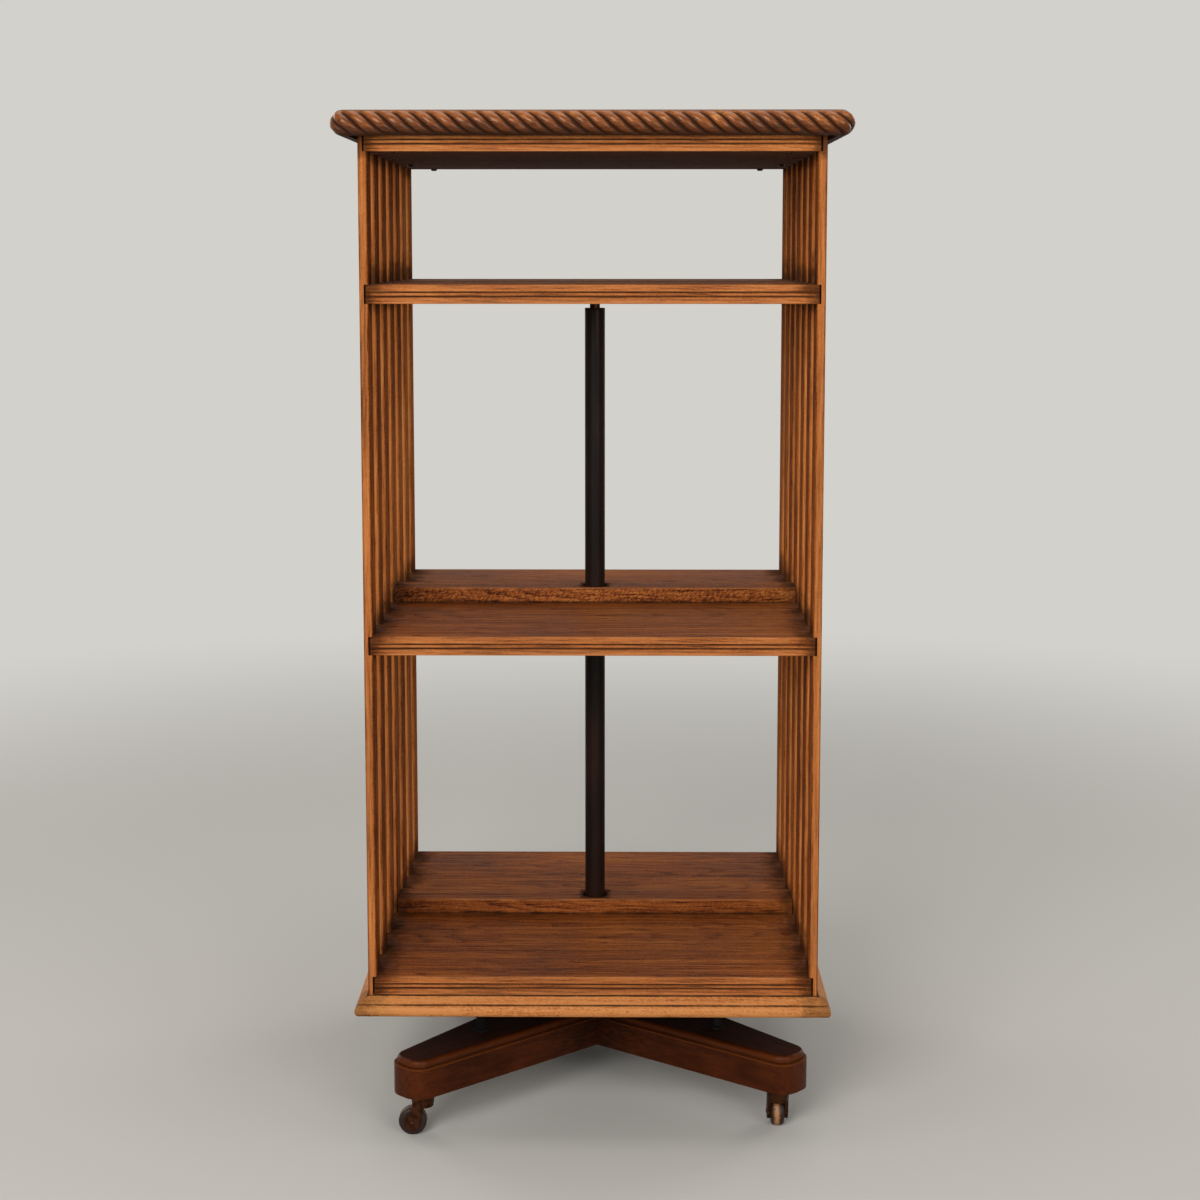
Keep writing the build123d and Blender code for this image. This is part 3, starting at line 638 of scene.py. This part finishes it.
@dataclass(frozen=True)
class WheelWood:
    """Dark turned hardwood: nearly black cheeks and a paler tread where the floor has worn it."""

    name: str
    corner: Corner
    worn: float
    cheek: str = "#24130c"
    tread: str = "#a5744a"
    grit: float = 1.6
    drift: float = 1.1
    radius: float = 16.0
    half_width: float = 7.5
    rim_depths: tuple[float, float] = (2.5, 0.5)
    band_edges: tuple[float, float] = (1.05, 0.55)
    raggedness: float = 0.9

    def material(self) -> Material:
        """Make the material.

        Returns:
            Wheel material whose tread is found from the wheel's own axle.
        """
        material, tree, shader = new_material(self.name)
        low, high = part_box(f"caster_wheel_{self.corner.value}")
        joint = next(j for j in frame["joints"] if j["name"] == f"caster_roll_{self.corner.value}")
        place = place_in_mm(tree)
        middle = (low + high) / 2 * PER_MM
        offset = add(tree, VECTOR, [place, middle], "SUBTRACT")
        sideways = add(tree, VECTOR, [offset, joint["axis"]], "DOT_PRODUCT").outputs["Value"]
        moved = add(tree, MATH, [sideways, self.drift], "SUBTRACT")
        apart = add(tree, MATH, [moved], "ABSOLUTE")
        share = add(tree, MATH, [apart, self.half_width], "DIVIDE")
        reach = add(tree, VECTOR, [offset], "LENGTH").outputs["Value"]
        start, end = (self.radius - depth for depth in self.rim_depths)
        rim = add(tree, RANGE, {"Value": reach, **limits(start, end, 0.0, self.worn)})
        noise = drawn_noise(tree, place, (self.grit,) * 3, 3.0)
        edge = add(tree, MATH, [noise, self.raggedness, share], "MULTIPLY_ADD")
        band = add(tree, RANGE, {"Value": edge, **limits(*self.band_edges)}, **SMOOTH)
        worn = add(tree, MATH, [band, rim], "MULTIPLY")
        colour = layered(tree, linear(self.cheek), [(worn, self.tread)])
        bump = add(tree, "ShaderNodeBump", {"Height": noise, "Strength": 0.25, "Distance": 0.3 * MM})
        wire(tree, shader, {
            "Base Color": colour, "Roughness": 0.5, "Normal": bump, "Specular IOR Level": 0.3,
        })
        return material


def dress(finish: Finish, *nodes: str) -> None:
    """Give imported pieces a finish, and leave their shape alone.

    Args:
        finish: Finish to give.
        nodes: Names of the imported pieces.
    """
    material = finish.material()
    for name in nodes:
        for slot in frame["nodes"][name].material_slots:
            slot.material = material
        log.info("%s: %s", name, finish.name)


def levels(node: str) -> tuple[float, float]:
    """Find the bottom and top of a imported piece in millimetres."""
    low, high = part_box(node)
    return low.z * PER_MM, high.z * PER_MM


def at_corners(*parts: str) -> list[str]:
    """Name the pieces of parts that the base has at each corner."""
    return [f"{part}_{corner.value}" for part in parts for corner in Corner]


@dataclass
class Shelves:
    """Four boards with two reeds along their open edges, and the stops along the middle of the lower two.

    Each stop has the strength of its ray flecks.
    """

    names: tuple[str, ...] = ("bottom_shelf", "middle_shelf", "upper_shelf", "sub_top")
    stops: dict[str, float] = field(
        default_factory=lambda: {"bottom_book_stop": 0.09, "middle_book_stop": 0.26}
    )
    half_depth: float = 250.0
    half_length: float = 243.8
    reed_drops: tuple[float, float] = (8.2, 12.7)
    board_width: float = 132.0
    stop_board_width: float = 160.0
    # Tone of each board, lighter from the bottom shelf up to the sub-top: painted shade on the lower boards
    # and painted light on the sub-top's frieze under the rope
    plain_tone: float = 0.17
    tones: dict[str, float] = field(
        default_factory=lambda: {"bottom_shelf": 0.11, "upper_shelf": 0.22, "sub_top": 0.31}
    )

    def finish(self, name: str) -> WaxedOak:
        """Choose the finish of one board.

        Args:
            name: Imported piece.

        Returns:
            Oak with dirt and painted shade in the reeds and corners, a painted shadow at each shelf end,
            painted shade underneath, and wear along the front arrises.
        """
        bottom, top = levels(name)
        middle = (bottom + top) / 2
        # Dark in the two reed grooves: dirt and painted shade
        reeds = tuple(
            Zone((0, self.half_depth, top - drop), (300, 1.6, 0.5), (1, 1, 0.8), 0.8)
            for drop in self.reed_drops
        )
        # Dark where the boards meet the slats and the stops: dirt and painted shade in these corners
        dirt_and_shade = (
            Zone((self.half_length, 0, top), (4, 250, 4), (26, 4, 14), 0.7),
            Zone((self.half_length, self.half_depth, middle), (2, 6, 12), (16, 12, 6), 0.7),
            # Crisp dark line at each shelf end: painted shadow in the gap between the shelf and the slat's
            # notch
            Zone((self.half_length, self.half_depth, middle), (1, 9, 14), (0.8, 3, 3), 0.97),
            Zone((0, 0, top), (250, 23, 3), (4, 14, 4), 0.45),
            # Dark underside: painted shade under the board
            Zone((0, 0, bottom), (250, 245, 0.2), (1, 3, 0.5), 0.8),
        )
        wear = (
            Zone((0, self.half_depth, top), (210, 1.2, 0.6), (32, 2, 2), 0.6),
            Zone((0, self.half_depth, bottom), (210, 1.2, 2.4), (32, 2, 2), 0.75),
            Zone((0, self.half_depth, middle), (210, 0.6, 9), (32, 1.5, 3), 0.35),
        )
        return WaxedOak(
            f"waxed_oak_{name}", Grain.ALONG_X, (0.0, 0.0, middle), self.board_width, reeds + dirt_and_shade, wear,
            tone=self.tones.get(name, self.plain_tone),
        )

    def stop_finish(self, name: str) -> WaxedOak:
        """Choose the finish of a book stop.

        Args:
            name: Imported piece.

        Returns:
            Quarter-sawn oak, whose ray flecks are strongest on the upper stop.
        """
        bottom, top = levels(name)
        middle = (bottom + top) / 2
        # Dark along the stop's foot, at its ends by the slats and round the pole: dirt and painted shade in
        # these corners
        dirt_and_shade = (
            Zone((0, 23, bottom), (250, 3, 0.8), (4, 4, 4), 0.75),
            Zone((self.half_length, 0, middle), (2, 40, 12), (26, 4, 4), 0.7),
            Zone((0, 0, top), (15, 15, 20), (6, 6, 4), 0.75),
        )
        wear = (Zone((0, 22, top), (200, 1.2, 0.8), (40, 2, 2), 0.5),)
        return WaxedOak(
            f"quartered_oak_{name}", Grain.ALONG_X, (0.0, 0.0, middle), self.stop_board_width, dirt_and_shade, wear,
            fleck=self.stops[name], fleck_turn=(0.0, 36.0, 12.0), tone=0.06,
        )

    def dress(self) -> None:
        """Give the boards and stops their finishes."""
        for name in self.names:
            dress(self.finish(name), name)
        for name in self.stops:
            dress(self.stop_finish(name), name)


@dataclass
class Slats:
    """Seven slats on each side, with dirt and painted shade above and below each shelf, and painted shade at
    their tops under the rope.
    """

    count: int = 7
    sides: tuple[str, str] = ("left", "right")
    shelves: tuple[str, ...] = Shelves.names
    pitch: float = 76.667
    inner_face: float = 240.5
    outer_face: float = 250.0
    half_slat: float = 20.0
    edge_wear_and_highlight: float = 0.5

    def finish(self) -> WaxedOak:
        """Choose the finish of the slats.

        Returns:
            Oak with upright grain, each slat its own board, pale along its edges from wear and a painted
            highlight.
        """
        between = (self.inner_face + self.outer_face) / 2
        last = (self.count - 1) / 2
        half_depth = last * self.pitch + self.half_slat
        ends = levels("slat_left_1")
        # Dark at the slats' tops: painted shade in the corner under the rope
        dirt_and_shade = [Zone((between, half_depth, ends[1] - 8), (8, 2, 8), (2, 2, 16), 0.75)]
        # Dark on the slats' inner faces just above and below each board: dirt and painted shade in these
        # corners
        for shelf in self.shelves:
            bottom, top = levels(shelf)
            dirt_and_shade.append(Zone((self.inner_face, 0, top), (2, 238, 3), (4.5, 6, 34), 0.8))
            dirt_and_shade.append(Zone((self.inner_face, 0, bottom), (2, 238, 1), (4.5, 6, 16), 0.7))
        edges = {abs((number - last) * self.pitch + self.half_slat) for number in range(self.count)}
        # Pale along the slats' edges: worn arrises, and painted highlight on the edges
        wear = tuple(
            Zone((between, edge, sum(ends) / 2), (2.6, 0.6, 470), (2.2, 1, 20), self.edge_wear_and_highlight)
            for edge in sorted(edges)
        )
        return WaxedOak(
            "waxed_oak_slats", Grain.ALONG_Z, (0.0, -self.pitch / 2, 0.0), self.pitch, tuple(dirt_and_shade), wear,
            fleck=0.13, fleck_turn=(0.0, 24.0, 66.0), tone=0.15, specular=0.04, matt=0.4,
        )

    def dress(self) -> None:
        """Give the slats their finish."""
        numbers = range(1, self.count + 1)
        dress(self.finish(), *(f"slat_{side}_{number}" for side in self.sides for number in numbers))


@dataclass
class BaseBoard:
    """Board under the case, with a sloped, beaded and rounded edge that takes the knocks."""

    name: str = "base_board"
    nose_height: float = 13.8
    bead_height: float = 2.3
    bead_face: float = 259.7
    half_width: float = 264.0
    half_case: float = 250.0
    nose_middle: float = 8.0
    slope_half: float = 4.0
    board_width: float = 176.0

    def dress(self) -> None:
        """Give the board pale worn oak with dirt and painted shade in the quirk, dirt at the corners, painted
        shadow along the case's foot and underneath, and a painted highlight on the bead.
        """
        bottom, top = levels(self.name)
        quirk = bottom + self.nose_height
        nose = bottom + self.nose_middle
        slope = self.bead_face - self.slope_half
        dirt_and_shade = (
            # Dark line in the quirk: dirt and painted shade
            Zone((0, self.bead_face, quirk), (262, 1.2, 0.4), (1, 1, 1), 0.8),
            Zone((self.bead_face, 0, quirk), (1.2, 262, 0.4), (1, 1, 1), 0.8),
            Zone((self.half_width, self.half_width, quirk), (4, 4, 20), (44, 44, 10), 0.5),
            # Dark line where the case stands on the board: painted shadow in the joint
            Zone((0, self.half_case, top), (252, 1.4, 0.8), (1, 1, 1), 0.9),
            Zone((self.half_case, 0, top), (1.4, 252, 0.8), (1, 1, 1), 0.9),
            # Dark underside: painted shade under the board
            Zone((0, 0, bottom), (258, 258, 0.2), (4, 4, 0.5), 0.75),
        )
        wear = (
            Zone((0, self.half_width, nose), (190, 6, 4), (60, 4, 4), 0.4),
            Zone((self.half_width, 0, nose), (6, 190, 4), (4, 60, 4), 0.5),
            Zone((0, slope, top - 3), (200, 5, 3), (50, 2, 2), 0.5),
            Zone((slope, 0, top - 3), (5, 200, 3), (2, 50, 2), 0.3),
            # Pale line on the bead: painted highlight, and wear on its arris
            Zone((0, self.bead_face, quirk + self.bead_height), (200, 0.8, 0.5), (50, 1, 1), 0.8),
        )
        finish = WaxedOak(
            "worn_oak_base_board", Grain.ALONG_X, (0.0, 0.0, bottom), self.board_width, dirt_and_shade, wear,
            fleck=0.3, tone=0.6, specks=0.75, specular=0.16, matt=0.05,
        )
        dress(finish, self.name)


@dataclass
class RopeMoulding:
    """Carved rope round the top: round strands that run down to the right, and fade into the flat top.

    Lengths are in millimetres and angles in degrees from the front of the section. The strands lie straight
    at the mitres, and take their slant over a few lobes.
    """

    radius: float = 13.5
    back: float = 4.0
    lobes: int = 29
    corner_lobes: int = 1
    strands: float = 3.8
    slant_lobes: float = 5.0
    depth: float = 4.5
    roundness: float = 2.6
    unevenness: float = 0.35
    wander: float = 0.8
    top_fade: tuple[float, float] = (52.0, 84.0)
    low_fade: tuple[float, float] = (-103.0, -74.0)
    steps_along: int = 860
    steps_around: int = 56
    arc_share: float = 0.9
    cap_angle: float = 50.0
    attribute: str = "hollow"
    tree: NodeTree = field(init=False)

    def __post_init__(self) -> None:
        """Make the node tree that carves one side."""
        self.tree = self.carving()

    def carving(self) -> NodeTree:
        """Make the Geometry Nodes tree of one length of rope.

        Returns:
            Tree with named inputs for its sizes, in metres and counts.
        """
        tree = bpy.data.node_groups.new("carved_rope", "GeometryNodeTree")
        declare(tree, "INPUT", {
            "Float": (
                "Half Width", "Radius", "Back", "Axis Height", "Lobes", "Corner Lobes", "Strands", "Depth",
                "Turn", "Seed",
            ),
            "Int": ("Steps Along", "Steps Around"),
            "Material": ("Finish",),
        })
        declare(tree, "OUTPUT", {"Geometry": ("Geometry",)})
        given = add(tree, "NodeGroupInput").outputs
        steps = {"Vertices X": given["Steps Along"], "Vertices Y": given["Steps Around"]}
        grid = add(tree, "GeometryNodeMeshGrid", {"Size X": 2.0, "Size Y": 1.0, **steps})
        place = add(tree, "ShaderNodeSeparateXYZ", [add(tree, "GeometryNodeInputPosition")]).outputs
        round_share = add(tree, MATH, [place["Y"], 0.5], "ADD")

        # Section: an arc from the bottom of the flat back round to its top, then down the back
        cosine = add(tree, MATH, [given["Back"], given["Radius"]], "DIVIDE")
        beyond = add(tree, MATH, [cosine, -1.0], "MULTIPLY")
        widest = add(tree, MATH, [beyond], "ARCCOSINE")
        lowest = add(tree, MATH, [widest, -1.0], "MULTIPLY")
        angle = add(tree, RANGE, {"Value": round_share, **limits(0.0, self.arc_share, lowest, widest)})
        down_back = add(tree, RANGE, {"Value": round_share, **limits(self.arc_share, 1.0)})

        # Rows of the mesh follow the strands, and straighten towards the mitres
        both = add(tree, MATH, [given["Lobes"], given["Corner Lobes"]], "ADD")
        half = add(tree, MATH, [both, 0.5], "MULTIPLY")
        row = add(tree, MATH, [place["X"], half], "MULTIPLY")
        row_size = add(tree, MATH, [row], "ABSOLUTE")
        to_mitre = add(tree, MATH, [half, row_size], "SUBTRACT")
        slant = add(tree, RANGE, {"Value": to_mitre, **limits(0.0, self.slant_lobes)}, **SMOOTH)
        turns = add(tree, MATH, [angle, radians(360)], "DIVIDE")
        twist = add(tree, MATH, [turns, given["Strands"]], "MULTIPLY")
        lean = add(tree, MATH, [twist, slant], "MULTIPLY")
        along = add(tree, MATH, [row, lean], "SUBTRACT")

        # A carver's strands aren't quite even
        seeded = add(tree, MATH, [row, given["Seed"]], "ADD")
        wander = add(tree, NOISE, {"W": seeded, "Scale": self.wander}, noise_dimensions="1D")
        uneven = add(tree, MATH, [wander, 0.5], "SUBTRACT")
        held = add(tree, MATH, [uneven, slant], "MULTIPLY")
        straight = add(tree, MATH, [along, twist], "ADD")
        phase = weighed(tree, straight.outputs[0], [(held, self.unevenness)])
        share = add(tree, MATH, [phase], "FRACT")
        across = add(tree, MATH, [share, 2.0, -1.0], "MULTIPLY_ADD")
        from_crest = add(tree, MATH, [across], "ABSOLUTE")
        hollow = add(tree, MATH, [from_crest, self.roundness], "POWER")
        for (start, end), (before, after) in ((self.top_fade, (1.0, 0.0)), (self.low_fade, (0.0, 1.0))):
            angles = limits(radians(start), radians(end), before, after)
            fade = add(tree, RANGE, {"Value": angle, **angles}, **SMOOTH)
            hollow = add(tree, MATH, [hollow, fade], "MULTIPLY")
        carved = add(tree, MATH, [hollow, given["Depth"]], "MULTIPLY")
        reach = add(tree, MATH, [given["Radius"], carved], "SUBTRACT")

        # Height and distance from the board's edge
        sine = add(tree, MATH, [angle], "SINE")
        level = add(tree, MATH, [reach, sine, given["Axis Height"]], "MULTIPLY_ADD")
        end_sine = add(tree, MATH, [widest], "SINE")
        end_height = add(tree, MATH, [end_sine, given["Radius"]], "MULTIPLY")
        back_height = add(tree, MATH, [end_height, -2.0], "MULTIPLY")
        height = add(tree, MATH, [down_back, back_height, level], "MULTIPLY_ADD")
        forward = add(tree, MATH, [angle], "COSINE")
        outward = add(tree, MATH, [forward, reach, given["Back"]], "MULTIPLY_ADD")

        # Straight run along the edge, and half of the turn at each corner
        half_run = add(tree, MATH, [given["Lobes"], 0.5], "MULTIPLY")
        run_start = add(tree, MATH, [half_run, -1.0], "MULTIPLY")
        on_run = add(tree, "ShaderNodeClamp", {"Value": along, "Min": run_start, "Max": half_run})
        run_share = add(tree, MATH, [on_run, half_run], "DIVIDE")
        past = add(tree, MATH, [along, on_run], "SUBTRACT")
        corner_share = add(tree, MATH, [past, given["Corner Lobes"]], "DIVIDE")
        bend = add(tree, MATH, [corner_share, radians(90)], "MULTIPLY")
        bend_sine = add(tree, MATH, [bend], "SINE")
        bend_cosine = add(tree, MATH, [bend], "COSINE")
        run_place = add(tree, MATH, [run_share, given["Half Width"]], "MULTIPLY")
        side_place = add(tree, MATH, [outward, bend_sine, run_place], "MULTIPLY_ADD")
        front_place = add(tree, MATH, [outward, bend_cosine, given["Half Width"]], "MULTIPLY_ADD")
        facing = add(tree, MATH, [front_place, -1.0], "MULTIPLY")
        point = add(tree, "ShaderNodeCombineXYZ", {"X": side_place, "Y": facing, "Z": height})

        # The depth of the carving stays on the mesh, for the finish to read
        kept = add(
            tree, "GeometryNodeStoreNamedAttribute",
            {"Geometry": grid.outputs["Mesh"], "Name": self.attribute, "Value": hollow},
            data_type="FLOAT", domain="POINT",
        )
        shaped = add(tree, "GeometryNodeSetPosition", {"Geometry": kept, "Position": point})
        closed = add(tree, "GeometryNodeMergeByDistance", {"Geometry": shaped, "Distance": 0.01 * MM})
        spin = add(tree, "ShaderNodeCombineXYZ", {"Z": given["Turn"]})
        turned = add(tree, "GeometryNodeTransform", {"Geometry": closed, "Rotation": spin})
        real = add(tree, "GeometryNodeRealizeInstances", {"Geometry": turned})
        painted = add(tree, "GeometryNodeSetMaterial", {"Geometry": real, "Material": given["Finish"]})
        add(tree, "NodeGroupOutput", {"Geometry": painted})
        return tree

    def length(self, side: Side, material: Material) -> Object:
        """Carve one length of rope.

        Args:
            side: Side of the top that it runs along.
            material: Its finish.

        Returns:
            Closed mesh object that ends in mitres.
        """
        low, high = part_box("rope_front")
        name = f"carved_rope_{side.name.lower()}"
        blank = bpy.data.objects.new(name, bpy.data.meshes.new(name))
        bpy.context.scene.collection.objects.link(blank)
        modifier = blank.modifiers.new("carving", "NODES")
        modifier.node_group = self.tree
        sizes = {
            "Half Width": -low.y - (self.radius + self.back) * MM, "Radius": self.radius * MM,
            "Back": self.back * MM, "Axis Height": high.z - self.radius * MM, "Lobes": float(self.lobes),
            "Corner Lobes": float(self.corner_lobes), "Strands": self.strands, "Depth": self.depth * MM,
            "Turn": radians(side.value), "Seed": side.value, "Steps Along": self.steps_along,
            "Steps Around": self.steps_around, "Finish": material,
        }
        for item in self.tree.interface.items_tree:
            if item.in_out == "INPUT":
                modifier[item.identifier] = sizes[item.name]
        evaluated = blank.evaluated_get(bpy.context.evaluated_depsgraph_get())
        mesh = bpy.data.meshes.new_from_object(evaluated)
        blank.modifiers.clear()
        blank.data = mesh
        shell = bmesh.new()
        shell.from_mesh(mesh)
        bmesh.ops.holes_fill(shell, edges=[edge for edge in shell.edges if edge.is_boundary], sides=0)
        bmesh.ops.recalc_face_normals(shell, faces=shell.faces)
        shell.to_mesh(mesh)
        shell.free()
        mesh.polygons.foreach_set("use_smooth", [True] * len(mesh.polygons))
        mesh.set_sharp_from_angle(angle=radians(self.cap_angle))
        return blank

    def build(self) -> None:
        """Carve the four lengths and set them in place of the plain ones."""
        top = levels("rope_front")[1]
        material = CarvedOak("carved_oak", self.attribute, top - self.radius, self.radius).material()
        for side in Side:
            piece = self.length(side, material)
            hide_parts(f"rope_{side.name.lower()}")
            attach(piece, "case")
            log.info("%s: %d faces", piece.name, len(piece.data.polygons))


@dataclass
class TopBoard:
    """Board inside the rope, glued up from wide planks."""

    name: str = "top_board"
    half_width: float = 260.0
    board_width: float = 148.0

    def dress(self) -> None:
        """Give the top its finish, with dirt and painted shade along the rope, and painted shade underneath.
        """
        bottom, top = levels(self.name)
        dirt_and_shade = (
            # Dark along the rope: dirt and painted shade in the crease
            Zone((0, self.half_width, top), (262, 0.8, 4), (4, 7, 4), 0.6),
            Zone((self.half_width, 0, top), (0.8, 262, 4), (7, 4, 4), 0.6),
            # Dark underside: painted shade under the top
            Zone((0, 0, bottom), (262, 262, 0.3), (1, 1, 1), 0.8),
        )
        middle = (0.0, 0.0, bottom)
        dress(WaxedOak("waxed_oak_top", Grain.ALONG_X, middle, self.board_width, dirt_and_shade, fleck=0.12), self.name)


@dataclass
class Base:
    """Cross of two beams with its pole, rollers and castors."""

    step_height: float = 9.5
    plain_wheel: float = 0.3
    worn_wheels: dict[Corner, float] = field(
        default_factory=lambda: {Corner.FRONT_RIGHT: 0.95, Corner.BACK_LEFT: 0.7}
    )
    beams: dict[str, Grain] = field(default_factory=lambda: {
        "cross_beam_upper": Grain.ALONG_UPPER_BEAM, "cross_beam_lower": Grain.ALONG_LOWER_BEAM,
    })

    def dress(self) -> None:
        """Give the cross, the pole and the fittings their finishes."""
        top = levels("cross_beam_upper")[1]
        edge = top - self.step_height
        wear = (
            Zone((0, 0, edge - 0.4), (400, 400, 0.3), (1, 1, 0.9), 0.3),
            # Faint pale band on the ovolo's upright face: painted light where it faces the lamps
            Zone((0, 0, edge + 4.5), (400, 400, 1.5), (1, 1, 2.5), 0.1),
        )
        dirt_and_shade = (
            # Dark top of the arms: dust, and painted shade of the case above
            Zone((0, 0, top), (400, 400, 0.2), (1, 1, 1.2), 0.7),
            # Dark line at the ovolo's foot: dirt and painted shade in the ledge's inner corner
            Zone((0, 0, edge + 0.8), (400, 400, 0.2), (1, 1, 0.7), 0.8),
            # Dark middle of the cross round the pole: painted shadow of the case above
            Zone((0, 0, edge), (45, 45, 50), (90, 90, 10), 0.8),
        )
        for name, grain in self.beams.items():
            dress(StainedWood(f"stained_wood_{name}", grain, dirt_and_shade, wear), name)
        dress(POLE_LACQUER, "pole")
        dress(CAST_IRON, "pole_flange", "pivot_plate", "guide_bush", *at_corners("roller_bracket", "roller"))
        dress(DULL_STEEL, "base_screws", "roller_axles")
        dress(BROWNED_STEEL, "pivot_pin", "case_screws", *at_corners("caster_axle"))
        dress(AGED_BRASS, *at_corners("caster_plate", "caster_horn"))
        for corner in Corner:
            worn = self.worn_wheels.get(corner, self.plain_wheel)
            dress(WheelWood(f"wheel_wood_{corner.value}", corner, worn), f"caster_wheel_{corner.value}")


@dataclass(frozen=True)
class SoftBox:
    """Square soft light, in metres and watts."""

    name: str
    place: Triple
    aim: Triple
    size: float
    power: float

    def build(self) -> None:
        """Hang the light."""
        light = bpy.data.lights.new(self.name, "AREA")
        light.shape = "SQUARE"
        light.size = self.size
        light.energy = self.power
        lamp = bpy.data.objects.new(self.name, light)
        lamp.location = self.place
        lamp.rotation_euler = (Vector(self.aim) - Vector(self.place)).to_track_quat("-Z", "Y").to_euler()
        bpy.context.scene.collection.objects.link(lamp)


@dataclass
class Studio:
    """Pale floor, soft light and a camera where the photograph was taken."""

    camera_place: Triple = (0.02755, -2.5326, 0.99825)
    pitch_down: float = 6.746
    turn: float = 0.487
    lens: float = 63.705
    sensor: float = 36.0
    shift_up: float = -0.0805
    floor_half: float = 40.0
    floor_fade: tuple[float, float] = (1.2, 3.2)
    floor_colour: str = "#c8c5be"
    backdrop: str = "#d3d1cb"
    sky_strength: float = 0.25
    lights: tuple[SoftBox, ...] = (
        SoftBox("key", (-1.1, -3.2, 1.9), (0.0, 0.0, 0.6), 1.6, 84.0),
        SoftBox("fill", (1.7, -3.1, 1.4), (0.0, 0.0, 0.6), 1.8, 42.0),
        SoftBox("overhead", (0.0, 0.0, 3.4), (0.0, 0.0, 0.0), 2.6, 40.0),
        SoftBox("rear_left", (-2.8, 2.4, 1.8), (0.0, 0.0, 0.6), 1.6, 26.0),
        SoftBox("rear_right", (2.8, 2.4, 1.8), (0.0, 0.0, 0.6), 1.6, 26.0),
    )

    def seen_direct(self, tree: NodeTree) -> NodeSocket:
        """Tell rays that show the backdrop from rays that light the object.

        Args:
            tree: Material or world tree.

        Returns:
            One for camera, glossy and transmission rays.
        """
        path = add(tree, "ShaderNodeLightPath").outputs
        shiny = add(tree, MATH, [path["Is Glossy Ray"], path["Is Transmission Ray"]], "MAXIMUM")
        return add(tree, MATH, [path["Is Camera Ray"], shiny], "MAXIMUM").outputs[0]

    def build_floor(self) -> None:
        """Lay the floor, which turns into the plain backdrop away from the object."""
        mesh = bpy.data.meshes.new("floor")
        ways = ((-1, -1), (1, -1), (1, 1), (-1, 1))
        corners = [(x * self.floor_half, y * self.floor_half, 0.0) for x, y in ways]
        mesh.from_pydata(corners, [], [range(len(corners))])
        floor = bpy.data.objects.new("floor", mesh)
        bpy.context.scene.collection.objects.link(floor)
        material = bpy.data.materials.new("pale_floor")
        material.use_nodes = True
        tree = material.node_tree
        tree.nodes.clear()
        spot = add(tree, "ShaderNodeTexCoord").outputs["Object"]
        away = add(tree, VECTOR, [spot], "LENGTH").outputs["Value"]
        fade = add(tree, RANGE, {"Value": away, **limits(*self.floor_fade)}, **SMOOTH)
        share = add(tree, MATH, [fade, self.seen_direct(tree)], "MULTIPLY")
        matt = add(tree, "ShaderNodeBsdfDiffuse", {"Color": linear(self.floor_colour)})
        plain = add(tree, "ShaderNodeEmission", {"Color": linear(self.backdrop)})
        mixed = add(tree, "ShaderNodeMixShader", [share, matt, plain])
        add(tree, "ShaderNodeOutputMaterial", {"Surface": mixed})
        mesh.materials.append(material)

    def build_sky(self) -> None:
        """Fill the room with even light, behind a plain backdrop."""
        world = bpy.data.worlds.new("studio")
        world.use_nodes = True
        tree = world.node_tree
        tree.nodes.clear()
        even = add(tree, "ShaderNodeBackground", {"Strength": self.sky_strength})
        plain = add(tree, "ShaderNodeBackground", {"Color": linear(self.backdrop)})
        mixed = add(tree, "ShaderNodeMixShader", [self.seen_direct(tree), even, plain])
        add(tree, "ShaderNodeOutputWorld", {"Surface": mixed})
        bpy.context.scene.world = world

    def build_camera(self) -> None:
        """Set up the camera as the photograph was framed."""
        lens = bpy.data.cameras.new("camera")
        lens.lens = self.lens
        lens.sensor_width = self.sensor
        lens.shift_y = self.shift_up
        camera = bpy.data.objects.new("camera", lens)
        camera.location = self.camera_place
        camera.rotation_euler = (radians(90 - self.pitch_down), 0.0, radians(self.turn))
        bpy.context.scene.collection.objects.link(camera)
        bpy.context.scene.camera = camera

    def build(self) -> None:
        """Build the whole studio."""
        self.build_floor()
        self.build_sky()
        for light in self.lights:
            light.build()
        self.build_camera()
        bpy.context.scene.view_settings.view_transform = "Standard"


def main() -> None:
    """Build and dress the bookcase, then the studio around it."""
    logging.basicConfig(level=logging.INFO, format="%(name)s: %(message)s")
    Shelves().dress()
    Slats().dress()
    BaseBoard().dress()
    TopBoard().dress()
    RopeMoulding().build()
    Base().dress()
    Studio().build()


if __name__ == "__main__":
    main()
